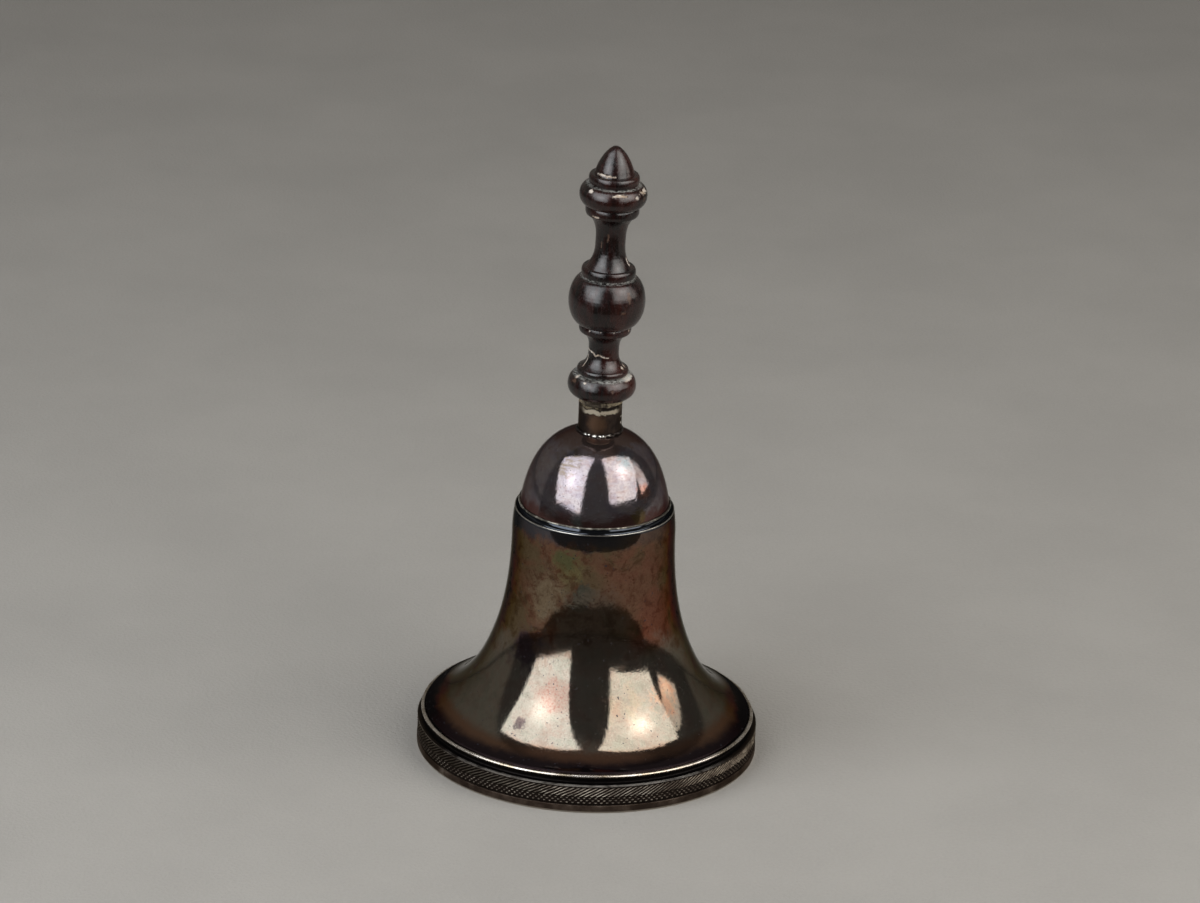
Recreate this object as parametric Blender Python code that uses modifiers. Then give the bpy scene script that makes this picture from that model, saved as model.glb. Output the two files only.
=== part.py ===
"""Service bell: a spun, silver-plated bell on a milled rim, with a turned wooden handle and a clapper.

Units are metres and +Z is up. The origin is the middle of the rim's underside, on which the bell
stands. The shells, the hanger and the clapper share the bell's own axis. The handle leans a little
towards +X, because it was cemented back into its ferrule slightly crooked.
"""

import math

import bmesh
import bpy
from mathutils import Matrix, Vector

MM = 0.001

# Clearances
SEAM = 0.3 * MM  # between pieces that are soldered, screwed or cemented to each other
RUN_FIT = 0.06 * MM  # radial, between a pin and the hole that turns on it

# Rim: a heavy mouth ring, a milled strip round it and a bead that closes the joint with the flare
MOUTH_R = 32.5 * MM
RIM_WALL = 2.2 * MM
FOOT_H = 1.5 * MM
STRIP_H = 3.6 * MM
STRIP_T = 0.55 * MM
COVE_H = 0.8 * MM
COVE_DEPTH = 0.35 * MM
BEAD_INSET = 1.1 * MM
BEAD_SECTION_R = 0.45 * MM
FOOT_EDGE = 0.2 * MM

# Skirt: one spun shell from the flare at the mouth up to the ledge that carries the crown
SHELL_T = 0.9 * MM
FLARE_RISE = 0.85 * MM  # of the flare's edge above the middle of the bead
THROAT_Z = 18.5 * MM
THROAT_STEP = 4.7 * MM  # how much wider than the waist the throat is
WAIST_R = 15.5 * MM
SHOULDER_Z = 49.85 * MM
SHOULDER_ROUND = 1.5 * MM
LEDGE_FALL = 0.45 * MM

# Crown: a second spun shell, soldered on the skirt's ledge
LEDGE_STEP = 1.4 * MM  # from the waist in to the crown's foot
LEDGE_LAP = 0.6 * MM  # how far the ledge reaches in under the crown's wall
CROWN_H = 14.7 * MM
CROWN_LOWER_H = 6.7 * MM  # the steep lower part of its wall
CROWN_LOWER_IN = 1.15 * MM  # how far that part leans in
CROWN_SOLDER_R = 0.2 * MM

# Ferrule and its joints. Its bore takes the tenon and a sleeve of cement
FERRULE_WALL = 0.5 * MM
FERRULE_H = 5.1 * MM
FERRULE_SHIFT = 0.4 * MM  # it was soldered a little off the bell's axis
FERRULE_SOLDER_R = 0.25 * MM
CEMENT_CRUST = 0.5 * MM
CEMENT_SLEEVE = 0.45 * MM
CEMENT_DEPTH = 3.6 * MM

# Handle: one piece of dark hardwood turned between centres
HANDLE_LEAN = math.radians(1.3)
LEAN_ROOM = 0.05 * MM  # what the leaning tenon needs beyond its own radius
TENON_WALL = 0.7 * MM  # least wood round the screw's bore
TENON_L = 4.6 * MM
# Each step going up: height, lower edge radius, middle radius, upper edge radius, form
HANDLE_STEPS = (
    ("lower bulb", 4.5, 4.4, 6.45, 5.0, "bead"),
    ("lower bulb's collar", 1.3, 4.6, 4.87, 4.5, "bead"),
    ("lower neck", 7.0, 4.4, 2.86, 4.3, "neck"),
    ("collar under the ball", 1.6, 4.5, 4.95, 4.75, "bead"),
    ("ball", 9.4, 4.9, 7.2, 4.95, "ball"),
    ("collar on the ball", 2.0, 4.9, 5.12, 4.6, "bead"),
    ("upper neck", 10.2, 4.3, 2.82, 4.4, "neck"),
    ("collar under the upper bulb", 1.9, 4.6, 5.05, 4.8, "bead"),
    ("upper bulb", 4.2, 4.8, 6.35, 4.7, "bead"),
    ("collar on the upper bulb", 1.9, 4.4, 4.75, 4.3, "bead"),
)
FINIAL_R = 3.9 * MM
FINIAL_H = 5.55 * MM
FINIAL_FULLNESS = 0.4 * MM
# form: exponents of the swell along a step, and how many points it is drawn with
FORMS = {"bead": (2.0, 2.0, 5), "ball": (2.0, 1.7, 8), "neck": (3.0, 1.0, 7)}

# Hanger screw: it comes up from inside the crown and holds crown, ferrule and handle together
THREAD_R = 1.1 * MM
THREAD_DEPTH = 0.28 * MM
THREAD_PITCH = 1.3 * MM
THREAD_L = 10.5 * MM
SCREW_POINT = 1.2 * MM
SHOULDER_R = 1.6 * MM
SCREW_HEAD_R = 2.6 * MM
SCREW_HEAD_H = 1.5 * MM
SLOT_W = 0.6 * MM
SLOT_DEPTH = 0.7 * MM
WASHER_R = 4.0 * MM
WASHER_T = 0.8 * MM

# Yoke: a strap stirrup that swivels on the screw's shoulder and carries the clapper's pin
STRAP_T = 0.8 * MM
HUB_WALL = 0.54 * MM  # least strap beside the hole for the screw's shoulder
STRAP_BEND = 1.1 * MM  # bend radius at the middle of the strap
YOKE_DROP = 6.2 * MM  # from the strap's top plate down to the pin
PIN_R = 0.8 * MM
PIN_HEAD_R = 1.3 * MM
PIN_HEAD_T = 0.5 * MM
TONGUE = 1.9 * MM  # strap below the pin's axis

# Clapper
BARREL_R = 1.6 * MM
ROD_R = 0.9 * MM
BALL_R = 4.5 * MM
BALL_Z = 14.0 * MM  # height of the ball's middle over the surface the bell stands on
COLLAR_R = 1.9 * MM
COLLAR_H = 1.0 * MM
BALL_WASHER_R = 2.3 * MM
BALL_WASHER_T = 0.6 * MM
PEEN_R = 1.5 * MM
PEEN_H = 0.8 * MM

# Facets round the axis
SHELL_FACETS = 56
CROWN_FACETS = 40
HANDLE_FACETS = 28
SMALL_FACETS = 24

# What follows from them
TENON_R = THREAD_R + SEAM + FERRULE_SHIFT + TENON_WALL
FERRULE_BORE = TENON_R + LEAN_ROOM + 2 * SEAM + CEMENT_SLEEVE
FERRULE_R = FERRULE_BORE + FERRULE_WALL
CROWN_FOOT_R = WAIST_R - LEDGE_STEP
STRAP_HALF = SHOULDER_R + RUN_FIT + HUB_WALL


# Outlines

def bezier(a, b, c, d, steps):
    """Points of a cubic curve from a to d, both ends included."""
    points = []
    for i in range(steps + 1):
        t = i / steps
        weights = ((1 - t) ** 3, 3 * (1 - t) ** 2 * t, 3 * (1 - t) * t * t, t**3)
        points.append(sum((Vector(p) * w for p, w in zip((a, b, c, d), weights)), Vector((0, 0))))
    return points


def arc(a, b, rise, steps):
    """Points from a to b on a circle that stands off the chord by rise, on its left side."""
    a, b = Vector(a), Vector(b)
    half = (b - a).length / 2
    radius = (half * half + rise * rise) / (2 * rise)
    along = (b - a).normalized()
    left = Vector((-along.y, along.x))
    centre = (a + b) / 2 + left * (rise - radius)
    sweep = math.asin(half / abs(radius))
    points = []
    for i in range(steps + 1):
        angle = sweep * (2 * i / steps - 1)
        points.append(centre + along * abs(radius) * math.sin(angle) + left * radius * math.cos(angle))
    return points


def circle(centre_r, centre_z, radius, steps):
    """A closed section, running down its outer side."""
    turns = [-math.tau * i / steps for i in range(steps)]
    return [(centre_r + radius * math.cos(t), centre_z + radius * math.sin(t)) for t in turns]


def swell(height, lower, middle, upper, form):
    """Points up one turned step of a spindle, from its lower edge to its upper edge."""
    flat, full, steps = FORMS[form]
    points = []
    for i in range(steps + 1):
        place = -math.cos(math.pi * i / steps)
        edge = lower + (upper - lower) * (place + 1) / 2
        share = (1 - abs(place) ** flat) ** (1 / full)
        points.append((edge + (middle - edge) * share, height * (place + 1) / 2))
    return points


def height_at(outline, radius):
    """Height of an outline where it crosses a radius."""
    for (r0, z0), (r1, z1) in zip(outline, outline[1:]):
        if min(r0, r1) <= radius <= max(r0, r1) and r0 != r1:
            return z0 + (z1 - z0) * (radius - r0) / (r1 - r0)
    raise ValueError("the outline doesn't reach this radius")


# Objects

def clear_scene():
    for obj in list(bpy.data.objects):
        bpy.data.objects.remove(obj, do_unlink=True)


def new_collection(name):
    collection = bpy.data.collections.new(name)
    bpy.context.scene.collection.children.link(collection)
    return collection


def material(name, colour, roughness, metallic):
    made = bpy.data.materials.new(name)
    made.use_nodes = True
    shader = made.node_tree.nodes["Principled BSDF"]
    shader.inputs["Base Color"].default_value = (*colour, 1)
    shader.inputs["Roughness"].default_value = roughness
    shader.inputs["Metallic"].default_value = metallic
    return made


def place(obj, parent=None, location=(0, 0, 0)):
    obj.parent = parent
    obj.location = location
    return obj


def part(name, mesh, finish, parent=None, location=(0, 0, 0)):
    obj = bpy.data.objects.new(name, mesh)
    obj.data.materials.append(material(name, *finish))
    PARTS.objects.link(obj)
    return place(obj, parent, location)


def cutter(name, mesh, parent=None, location=(0, 0, 0)):
    obj = bpy.data.objects.new(name, mesh)
    obj.hide_render = True
    obj.display_type = "WIRE"
    CUTTERS.objects.link(obj)
    return place(obj, parent, location)


def empty(name, location, lean=0.0):
    obj = bpy.data.objects.new(name, None)
    obj.location = location
    obj.rotation_euler = (0, lean, 0)
    PARTS.objects.link(obj)
    return obj


def outline_mesh(name, outline, closed):
    mesh = bpy.data.meshes.new(name)
    count = len(outline)
    edges = [(i, (i + 1) % count) for i in range(count if closed else count - 1)]
    mesh.from_pydata([(r, 0, z) for r, z in outline], edges, [])
    return mesh


def add_screw(obj, facets):
    screw = obj.modifiers.new("turned", "SCREW")
    screw.steps = facets
    screw.render_steps = facets
    screw.use_merge_vertices = True
    screw.merge_threshold = 0.001 * MM
    screw.use_smooth_shade = True
    return screw


def turned(name, outline, finish, facets, closed=True, parent=None, location=(0, 0, 0)):
    """A piece turned from an outline: a closed section, or an open one whose ends lie on the axis."""
    obj = part(name, outline_mesh(name, outline, closed), finish, parent, location)
    add_screw(obj, facets)
    return obj


def spun(name, outline, finish, facets):
    """A shell spun from sheet: the outline is its outer side."""
    obj = turned(name, outline, finish, facets, closed=False)
    wall = obj.modifiers.new("wall", "SOLIDIFY")
    wall.thickness = SHELL_T
    wall.offset = -1
    wall.use_even_offset = True
    return obj


def cylinder_mesh(name, radius, length, axis):
    """A closed cylinder, centred on its own origin."""
    mesh = bpy.data.meshes.new(name)
    work = bmesh.new()
    turn = Matrix() if axis == "Z" else Matrix.Rotation(math.pi / 2, 4, "X")
    bmesh.ops.create_cone(
        work, cap_ends=True, segments=SMALL_FACETS, radius1=radius, radius2=radius, depth=length, matrix=turn
    )
    work.to_mesh(mesh)
    work.free()
    return mesh


def box_mesh(name, size):
    mesh = bpy.data.meshes.new(name)
    work = bmesh.new()
    bmesh.ops.create_cube(work, size=1, matrix=Matrix.Diagonal((*size, 1)))
    work.to_mesh(mesh)
    work.free()
    return mesh


def combine(obj, other, operation):
    boolean = obj.modifiers.new(other.name, "BOOLEAN")
    boolean.operation = operation
    boolean.object = other
    return boolean


# Finishes: colour, roughness, metallic

PLATED = ((0.20, 0.13, 0.10), 0.22, 1.0)
CROWN_PLATE = ((0.22, 0.14, 0.14), 0.18, 1.0)
RIM_PLATE = ((0.30, 0.24, 0.19), 0.35, 1.0)
BRIGHT_EDGE = ((0.62, 0.57, 0.50), 0.28, 1.0)
SOLDER = ((0.55, 0.50, 0.42), 0.45, 1.0)
CEMENT = ((0.52, 0.45, 0.33), 0.9, 0.0)
ROSEWOOD = ((0.035, 0.012, 0.009), 0.25, 0.0)
IRON = ((0.25, 0.23, 0.21), 0.45, 1.0)
BRASS = ((0.52, 0.37, 0.16), 0.35, 1.0)


# Rim

def make_rim():
    """Mouth ring, milled strip and bead. Returns the bead's section centre."""
    outer = MOUTH_R
    wall = outer - STRIP_T - SEAM
    inner = outer - RIM_WALL
    strip_z = FOOT_H + SEAM
    cove_z = strip_z + STRIP_H
    top = cove_z + COVE_H
    cove = arc((wall - COVE_DEPTH / 2, top), (wall, cove_z), -COVE_DEPTH, 4)
    ring = [(inner, top), *cove, (wall, FOOT_H), (outer, FOOT_H), (outer, FOOT_EDGE)]
    ring += [(outer - FOOT_EDGE, 0), (inner, 0)]
    turned("mouth_ring", ring, RIM_PLATE, SHELL_FACETS)

    strip = [(wall + SEAM, cove_z), (outer, cove_z), (outer, strip_z), (wall + SEAM, strip_z)]
    turned("milled_strip", strip, RIM_PLATE, SHELL_FACETS)

    bead = (outer - BEAD_INSET, top + SEAM + BEAD_SECTION_R)
    turned("rim_bead", circle(*bead, BEAD_SECTION_R, 8), BRIGHT_EDGE, SHELL_FACETS)
    return bead


# Shells

def make_skirt(bead):
    edge = Vector((bead[0] - BEAD_SECTION_R - SEAM, bead[1] + FLARE_RISE))
    throat = Vector((WAIST_R + THROAT_STEP, THROAT_Z))
    ledge_in = (CROWN_FOOT_R - SHELL_T - LEDGE_LAP, SHOULDER_Z)
    ledge_out = (WAIST_R - SHOULDER_ROUND / 2, SHOULDER_Z - LEDGE_FALL)
    waist = Vector((WAIST_R, ledge_out[1] - SHOULDER_ROUND))
    throat_up = Vector((-3.6, 7.8)) * MM
    flare_in = Vector((-4.2, 2.55)) * MM
    outline = [ledge_in, (CROWN_FOOT_R, SHOULDER_Z)]
    outline += arc(ledge_out, waist, 0.25 * SHOULDER_ROUND, 3)
    outline += bezier(waist, waist - Vector((0, 12.0 * MM)), throat + throat_up, throat, 5)[1:]
    outline += bezier(throat, throat - throat_up * 1.06, edge + flare_in, edge, 5)[1:]
    spun("skirt_shell", outline, PLATED, SHELL_FACETS)


def make_crown():
    """Crown and its solder. Returns the crown's outline."""
    toe = SHELL_T * CROWN_LOWER_IN / CROWN_LOWER_H
    foot = Vector((CROWN_FOOT_R, SHOULDER_Z + SEAM + toe))
    top = Vector((THREAD_R + 2 * SEAM, foot.y + CROWN_H))
    lower = (foot.x - CROWN_LOWER_IN, foot.y + CROWN_LOWER_H)
    upper = (foot.x - 3.65 * MM, top.y - 0.08 * CROWN_H)
    outline = bezier(top, upper, lower, foot, 10)
    spun("crown_shell", outline, CROWN_PLATE, CROWN_FACETS)

    reach = SEAM + CROWN_SOLDER_R
    solder = circle(foot.x + reach, SHOULDER_Z + reach, CROWN_SOLDER_R, 6)
    turned("crown_solder", solder, SOLDER, CROWN_FACETS)
    return outline


# Ferrule

def make_ferrule(crown):
    """Ferrule, its solder and the cement round the tenon. Returns the height of the ferrule's top."""
    crown_top = crown[0][1]
    foot = crown_top + SEAM
    top = foot + FERRULE_H
    base = empty("ferrule_base", (FERRULE_SHIFT, 0, 0))
    tube = [(FERRULE_BORE, top), (FERRULE_R, top), (FERRULE_R, foot), (FERRULE_BORE, foot)]
    turned("ferrule", tube, CROWN_PLATE, HANDLE_FACETS, parent=base)

    reach = SEAM + FERRULE_SOLDER_R
    solder_r = FERRULE_R + reach
    solder_z = height_at(crown, solder_r - reach) + reach
    solder = circle(solder_r, solder_z, FERRULE_SOLDER_R, 6)
    turned("ferrule_solder", solder, SOLDER, HANDLE_FACETS, parent=base)

    sleeve_out = FERRULE_BORE - SEAM
    sleeve_in = sleeve_out - CEMENT_SLEEVE
    crust = top + SEAM
    cement = [(sleeve_in, crust + CEMENT_CRUST), (FERRULE_R - SEAM, crust + CEMENT_CRUST), (FERRULE_R, crust)]
    cement += [(sleeve_out, crust), (sleeve_out, top - CEMENT_DEPTH), (sleeve_in, top - CEMENT_DEPTH)]
    turned("setting_cement", cement, CEMENT, HANDLE_FACETS, parent=base)
    return top


# Handle

def make_handle(ferrule_top, crown_top):
    """The turned handle, leaning about the middle of the ferrule's mouth, with a blind bore for the screw."""
    seat = 2 * SEAM + CEMENT_CRUST
    outline = []
    height = seat
    for _, step, lower, middle, upper, form in HANDLE_STEPS:
        step_outline = swell(step * MM, lower * MM, middle * MM, upper * MM, form)
        outline += [(r, z + height) for r, z in step_outline]
        height += step * MM
    tip = height + FINIAL_H
    outline += arc((FINIAL_R, height + 0.1 * FINIAL_H), (0.1 * FINIAL_R, tip), -FINIAL_FULLNESS, 5)
    outline = [(0, tip), *reversed(outline), (TENON_R, seat), (TENON_R, seat - TENON_L), (0, seat - TENON_L)]
    axis = empty("handle_axis", (FERRULE_SHIFT, 0, ferrule_top), HANDLE_LEAN)
    handle = turned("handle", outline, ROSEWOOD, HANDLE_FACETS, closed=False, parent=axis)

    bore_top = crown_top + SEAM + THREAD_L + SEAM
    bore_length = 2 * THREAD_L
    bore = cylinder_mesh("screw_bore", THREAD_R + SEAM, bore_length, "Z")
    combine(handle, cutter("screw_bore", bore, location=(0, 0, bore_top - bore_length / 2)), "DIFFERENCE")


# Hanger

def make_hanger(crown_top):
    """Washer and screw under the crown. Returns the heights of the washer's underside and the head's top."""
    washer_top = crown_top - SHELL_T - 3 * SEAM
    washer_low = washer_top - WASHER_T
    hole = THREAD_R + SEAM
    washer = [(hole, washer_top), (WASHER_R, washer_top), (WASHER_R, washer_low), (hole, washer_low)]
    turned("crown_washer", washer, IRON, SMALL_FACETS)

    shoulder_top = washer_low - SEAM
    head_top = shoulder_top - STRAP_T - 2 * SEAM
    head_low = head_top - SCREW_HEAD_H
    thread_low = crown_top
    tip = crown_top + THREAD_L
    root = THREAD_R - THREAD_DEPTH
    outline = [(0, tip)]
    turns = int((tip - SCREW_POINT - thread_low) / THREAD_PITCH)
    for turn in range(turns):
        crest = tip - SCREW_POINT - turn * THREAD_PITCH
        outline += [(THREAD_R, crest), (root, crest - 0.7 * THREAD_PITCH)]
    outline += [(THREAD_R, thread_low), (THREAD_R, shoulder_top), (SHOULDER_R, shoulder_top)]
    outline += [(SHOULDER_R, head_top), (SCREW_HEAD_R, head_top)]
    outline += arc((SCREW_HEAD_R, head_top - 0.6 * SCREW_HEAD_H), (0.5 * SCREW_HEAD_R, head_low), 0.15 * MM, 3)
    outline += [(0, head_low)]
    screw = turned("hanger_screw", outline, IRON, SMALL_FACETS, closed=False)
    slot = box_mesh("driver_slot", (3 * SCREW_HEAD_R, SLOT_W, 2 * SLOT_DEPTH))
    combine(screw, cutter("driver_slot", slot, location=(0, 0, head_low)), "DIFFERENCE")
    return washer_low, head_top


def strap_rows(leg_y, drop, tongue):
    """Middle line of the stirrup and its half width, from the end of one leg over the top to the other."""
    low = -drop - tongue
    rows = [(-leg_y, low, 0.45 * STRAP_HALF), (-leg_y, low + 0.25 * tongue, 0.85 * STRAP_HALF)]
    rows += [(-leg_y, low + 0.6 * tongue, STRAP_HALF)]
    bend = [(math.cos(t), math.sin(t)) for t in (math.pi - i * math.pi / 8 for i in range(5))]
    rows += [(-leg_y + STRAP_BEND * (1 + c), STRAP_BEND * (s - 1), STRAP_HALF) for c, s in bend]
    rows += [(-y, z, w) for y, z, w in reversed(rows)]
    return rows


def make_yoke(washer_low):
    """Stirrup and its pin, in a frame on the swivel axis. Returns the pin's height and the leg's inner face."""
    leg_in = SCREW_HEAD_R + SEAM + 0.1 * MM
    leg_y = leg_in + STRAP_T / 2
    plate_z = washer_low - 2 * SEAM - STRAP_T / 2
    swivel = empty("yoke_swivel", (0, 0, plate_z))

    mesh = bpy.data.meshes.new("clapper_yoke")
    rows = strap_rows(leg_y, YOKE_DROP, TONGUE)
    points = [(side * w, y, z) for y, z, w in rows for side in (-1, 1)]
    faces = [(2 * i, 2 * i + 1, 2 * i + 3, 2 * i + 2) for i in range(len(rows) - 1)]
    mesh.from_pydata(points, [], faces)
    yoke = part("clapper_yoke", mesh, BRASS, swivel)
    strap = yoke.modifiers.new("strap", "SOLIDIFY")
    strap.thickness = STRAP_T
    strap.offset = 0
    strap.use_even_offset = True
    hub = cylinder_mesh("hub_hole", SHOULDER_R + RUN_FIT, 4 * STRAP_T, "Z")
    combine(yoke, cutter("hub_hole", hub, swivel), "DIFFERENCE")
    hole = cylinder_mesh("pin_hole", PIN_R + RUN_FIT, 4 * leg_y, "Y")
    combine(yoke, cutter("pin_hole", hole, swivel, (0, 0, -YOKE_DROP)), "DIFFERENCE")

    end = leg_in + STRAP_T + SEAM
    outline = [(0, end + PIN_HEAD_T), (PIN_HEAD_R, end + PIN_HEAD_T), (PIN_HEAD_R, end), (PIN_R, end)]
    outline += [(r, -z) for r, z in reversed(outline)]
    pin = turned("yoke_pin", outline, IRON, SMALL_FACETS, False, swivel, (0, 0, -YOKE_DROP))
    pin.rotation_euler = (math.pi / 2, 0, 0)
    return plate_z - YOKE_DROP, leg_in


# Clapper

def make_clapper(pin_z, leg_in):
    """Rod with its cross barrel and collar, ball and ball washer, in a frame on the pin's axis."""
    pivot = empty("clapper_pivot", (0, 0, pin_z))
    ball = BALL_Z - pin_z
    ball_hole = ROD_R + SEAM
    pole = math.sqrt(BALL_R**2 - ball_hole**2)
    collar_low = ball + pole + SEAM
    washer_top = ball - pole - SEAM
    washer_low = washer_top - BALL_WASHER_T
    peen_top = washer_low - SEAM

    rod = [(0, 0), (ROD_R, 0), (ROD_R, collar_low + COLLAR_H), (COLLAR_R, collar_low + 0.6 * COLLAR_H)]
    rod += [(COLLAR_R, collar_low), (ROD_R, collar_low), (ROD_R, peen_top), (PEEN_R, peen_top)]
    rod += arc((PEEN_R, peen_top - 0.3 * PEEN_H), (0, peen_top - PEEN_H), 0.12 * MM, 3)
    arm = turned("clapper_arm", rod, BRASS, SMALL_FACETS, closed=False, parent=pivot)
    barrel = cylinder_mesh("barrel", BARREL_R, 2 * (leg_in - SEAM), "Y")
    combine(arm, cutter("barrel", barrel, pivot), "UNION")
    hole = cylinder_mesh("barrel_hole", PIN_R + RUN_FIT, 3 * leg_in, "Y")
    combine(arm, cutter("barrel_hole", hole, pivot), "DIFFERENCE")

    start = math.asin(ball_hole / BALL_R)
    steps = 12
    angles = [start + (math.pi - 2 * start) * i / steps for i in range(steps + 1)]
    section = [(BALL_R * math.sin(a), ball + BALL_R * math.cos(a)) for a in angles]
    turned("clapper_ball", section, BRASS, SMALL_FACETS, parent=pivot)

    washer = [(ball_hole, washer_top), (BALL_WASHER_R, washer_top)]
    washer += [(BALL_WASHER_R, washer_low), (ball_hole, washer_low)]
    turned("ball_washer", washer, IRON, SMALL_FACETS, parent=pivot)


clear_scene()
PARTS = new_collection("service_bell")
CUTTERS = new_collection("cutters")
bead_section = make_rim()
make_skirt(bead_section)
crown_outline = make_crown()
crown_top_z = crown_outline[0][1]
ferrule_top_z = make_ferrule(crown_outline)
make_handle(ferrule_top_z, crown_top_z)
washer_z, head_z = make_hanger(crown_top_z)
clapper_pin_z, leg_face = make_yoke(washer_z)
make_clapper(clapper_pin_z, leg_face)
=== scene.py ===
"""Service bell: the visual model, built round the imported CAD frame.

Sections and sizes are in millimetres and are turned into metres where a mesh is made. Bearings
are in degrees about the bell's axis, 0 at the front (-Y) and positive towards +X.
"""

import math

import bmesh
import bpy
import numpy as np
from mathutils import Matrix, Vector, geometry, noise


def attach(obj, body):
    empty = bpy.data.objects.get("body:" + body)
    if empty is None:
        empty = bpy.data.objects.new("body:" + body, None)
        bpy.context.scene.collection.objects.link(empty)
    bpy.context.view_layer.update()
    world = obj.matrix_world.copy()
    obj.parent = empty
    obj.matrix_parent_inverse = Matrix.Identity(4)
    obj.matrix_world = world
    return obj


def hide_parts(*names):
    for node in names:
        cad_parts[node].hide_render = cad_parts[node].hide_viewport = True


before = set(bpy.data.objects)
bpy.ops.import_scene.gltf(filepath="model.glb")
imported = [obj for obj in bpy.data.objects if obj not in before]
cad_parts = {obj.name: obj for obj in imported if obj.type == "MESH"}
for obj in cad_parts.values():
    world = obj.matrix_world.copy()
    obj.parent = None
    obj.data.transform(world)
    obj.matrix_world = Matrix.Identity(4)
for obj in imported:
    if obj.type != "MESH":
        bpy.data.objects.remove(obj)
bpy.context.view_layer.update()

MM = 0.001
DULL_TINT = (0.5, 0.45, 0.4, 1)  # glancing reflections of a tarnished metal


# The studio. A pale cloth lies on the table. Two large softboxes lean in over it from the
# front left and the front right, and a small panel stands at the right. A dark flag covers
# the table's front, where the cloth ends, and shows only in the plate's reflections.

class Socket:
    """An output in a node tree. Sums on it add Math nodes."""

    def __init__(self, tree, output):
        self.tree = tree
        self.output = output

    def node(self, kind, settings=None, inputs=None, out=0):
        """Any other node: its type, its settings, then the values or links of its sockets."""
        made = self.tree.nodes.new("ShaderNode" + kind)
        for name, value in (settings or {}).items():
            setattr(made, name, value)
        for name, value in (inputs or {}).items():
            if isinstance(value, Socket):
                self.tree.links.new(value.output, made.inputs[name])
            else:
                made.inputs[name].default_value = value
        return Socket(self.tree, made.outputs[out])

    def maths(self, operation, *values):
        return self.node("Math", {"operation": operation}, dict(enumerate(values)))

    def __add__(self, other):
        return self.maths("ADD", self, other)

    __radd__ = __add__

    def __sub__(self, other):
        return self.maths("SUBTRACT", self, other)

    def __rsub__(self, other):
        return self.maths("SUBTRACT", other, self)

    def __mul__(self, other):
        return self.maths("MULTIPLY", self, other)

    __rmul__ = __mul__

    def __pow__(self, other):
        return self.maths("POWER", self, other)

    def __rpow__(self, other):
        return self.maths("POWER", other, self)

    def step(self, start, end):
        """0 before start and 1 after end, smooth between them; start may be the higher."""
        settings = {"interpolation_type": "SMOOTHSTEP"}
        return self.node("MapRange", settings, {"Value": self, "From Min": start, "From Max": end})

    def mix(self, low, high):
        """This value mixes two colours."""
        paint = [c if isinstance(c, Socket) else (*c, 1) for c in (low, high)]
        return self.node("Mix", {"data_type": "RGBA"}, {0: self, 6: paint[0], 7: paint[1]}, out=2)

    def stain(self, colour, tone):
        """This value multiplies a colour by a tone."""
        settings = {"data_type": "RGBA", "blend_type": "MULTIPLY"}
        return self.node("Mix", settings, {0: self, 6: colour, 7: (*tone, 1)}, out=2)

    def axis(self, name):
        return self.node("SeparateXYZ", None, {0: self}, out=name)

    def radius(self):
        """How far this place is from the bell's axis."""
        x, y = self.axis("X"), self.axis("Y")
        return (x * x + y * y) ** 0.5

    def stretched(self, x, y, z):
        return self.node("VectorMath", {"operation": "MULTIPLY"}, {0: self, 1: (x, y, z)})

    def away(self, x, y, z):
        """How far this place is from a point."""
        return self.node("VectorMath", {"operation": "DISTANCE"}, {0: self, 1: (x, y, z)}, out="Value")

    def grain(self, size, detail=3, coarse=0.55, swirl=0):
        """Noise from 0 to 1 with blots of this size, at this place."""
        inputs = {"Vector": self, "Scale": 1 / size, "Detail": detail, "Roughness": coarse}
        return self.node("TexNoise", None, {**inputs, "Distortion": swirl})


def finish(name, **fixed):
    """A new material; fixed values go on its shader. Returns it and the place on the piece in mm."""
    made = bpy.data.materials.new(name)
    made.use_nodes = True
    for socket, value in fixed.items():
        made.node_tree.nodes["Principled BSDF"].inputs[socket.replace("_", " ")].default_value = value
    start = Socket(made.node_tree, None)
    position = start.node("TexCoord", out="Object")
    return made, position.node("VectorMath", {"operation": "SCALE"}, {0: position, "Scale": 1 / MM})


def drive(made, relief=None, relief_depth=0.05, **varying):
    """Links what varies over the surface, and a relief of that depth in mm, to the shader."""
    shader = made.node_tree.nodes["Principled BSDF"]
    if relief is not None:
        inputs = {"Strength": 1, "Distance": relief_depth * MM, "Height": relief}
        varying["Normal"] = relief.node("Bump", None, inputs)
    for socket, value in varying.items():
        made.node_tree.links.new(value.output, shader.inputs[socket.replace("_", " ")])


def add_object(name, data):
    made = bpy.data.objects.new(name, data)
    bpy.context.scene.collection.objects.link(made)
    return made


def sheet(name, corners, made):
    """A flat piece of the studio: one face inside an outline."""
    mesh = bpy.data.meshes.new(name)
    mesh.from_pydata(corners, [], [range(len(corners))])
    mesh.materials.append(made)
    return add_object(name, mesh)


def shown_in_gloss_only(obj):
    obj.visible_camera = False
    obj.visible_diffuse = False
    obj.visible_shadow = False
    obj.visible_transmission = False


CLOTH_REACH = 6
CLOTH_TONE = (0.43, 0.41, 0.38)
cloth_finish, on_cloth = finish("cloth_finish", Roughness=0.95)
weave = on_cloth.grain(0.7, 2)
mottle = on_cloth.grain(45, 4)
cloth_tone = (mottle * 0.7 + weave * 0.3).step(0.3, 0.7).mix([c * 0.9 for c in CLOTH_TONE], CLOTH_TONE)
drive(cloth_finish, weave, 0.15, Base_Color=cloth_tone)
CORNERS = ((-1, -1), (1, -1), (1, 1), (-1, 1))
cloth_corners = [(x * CLOTH_REACH, y * CLOTH_REACH, 0) for x, y in CORNERS]
cloth = sheet("cloth", cloth_corners, cloth_finish)

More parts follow.
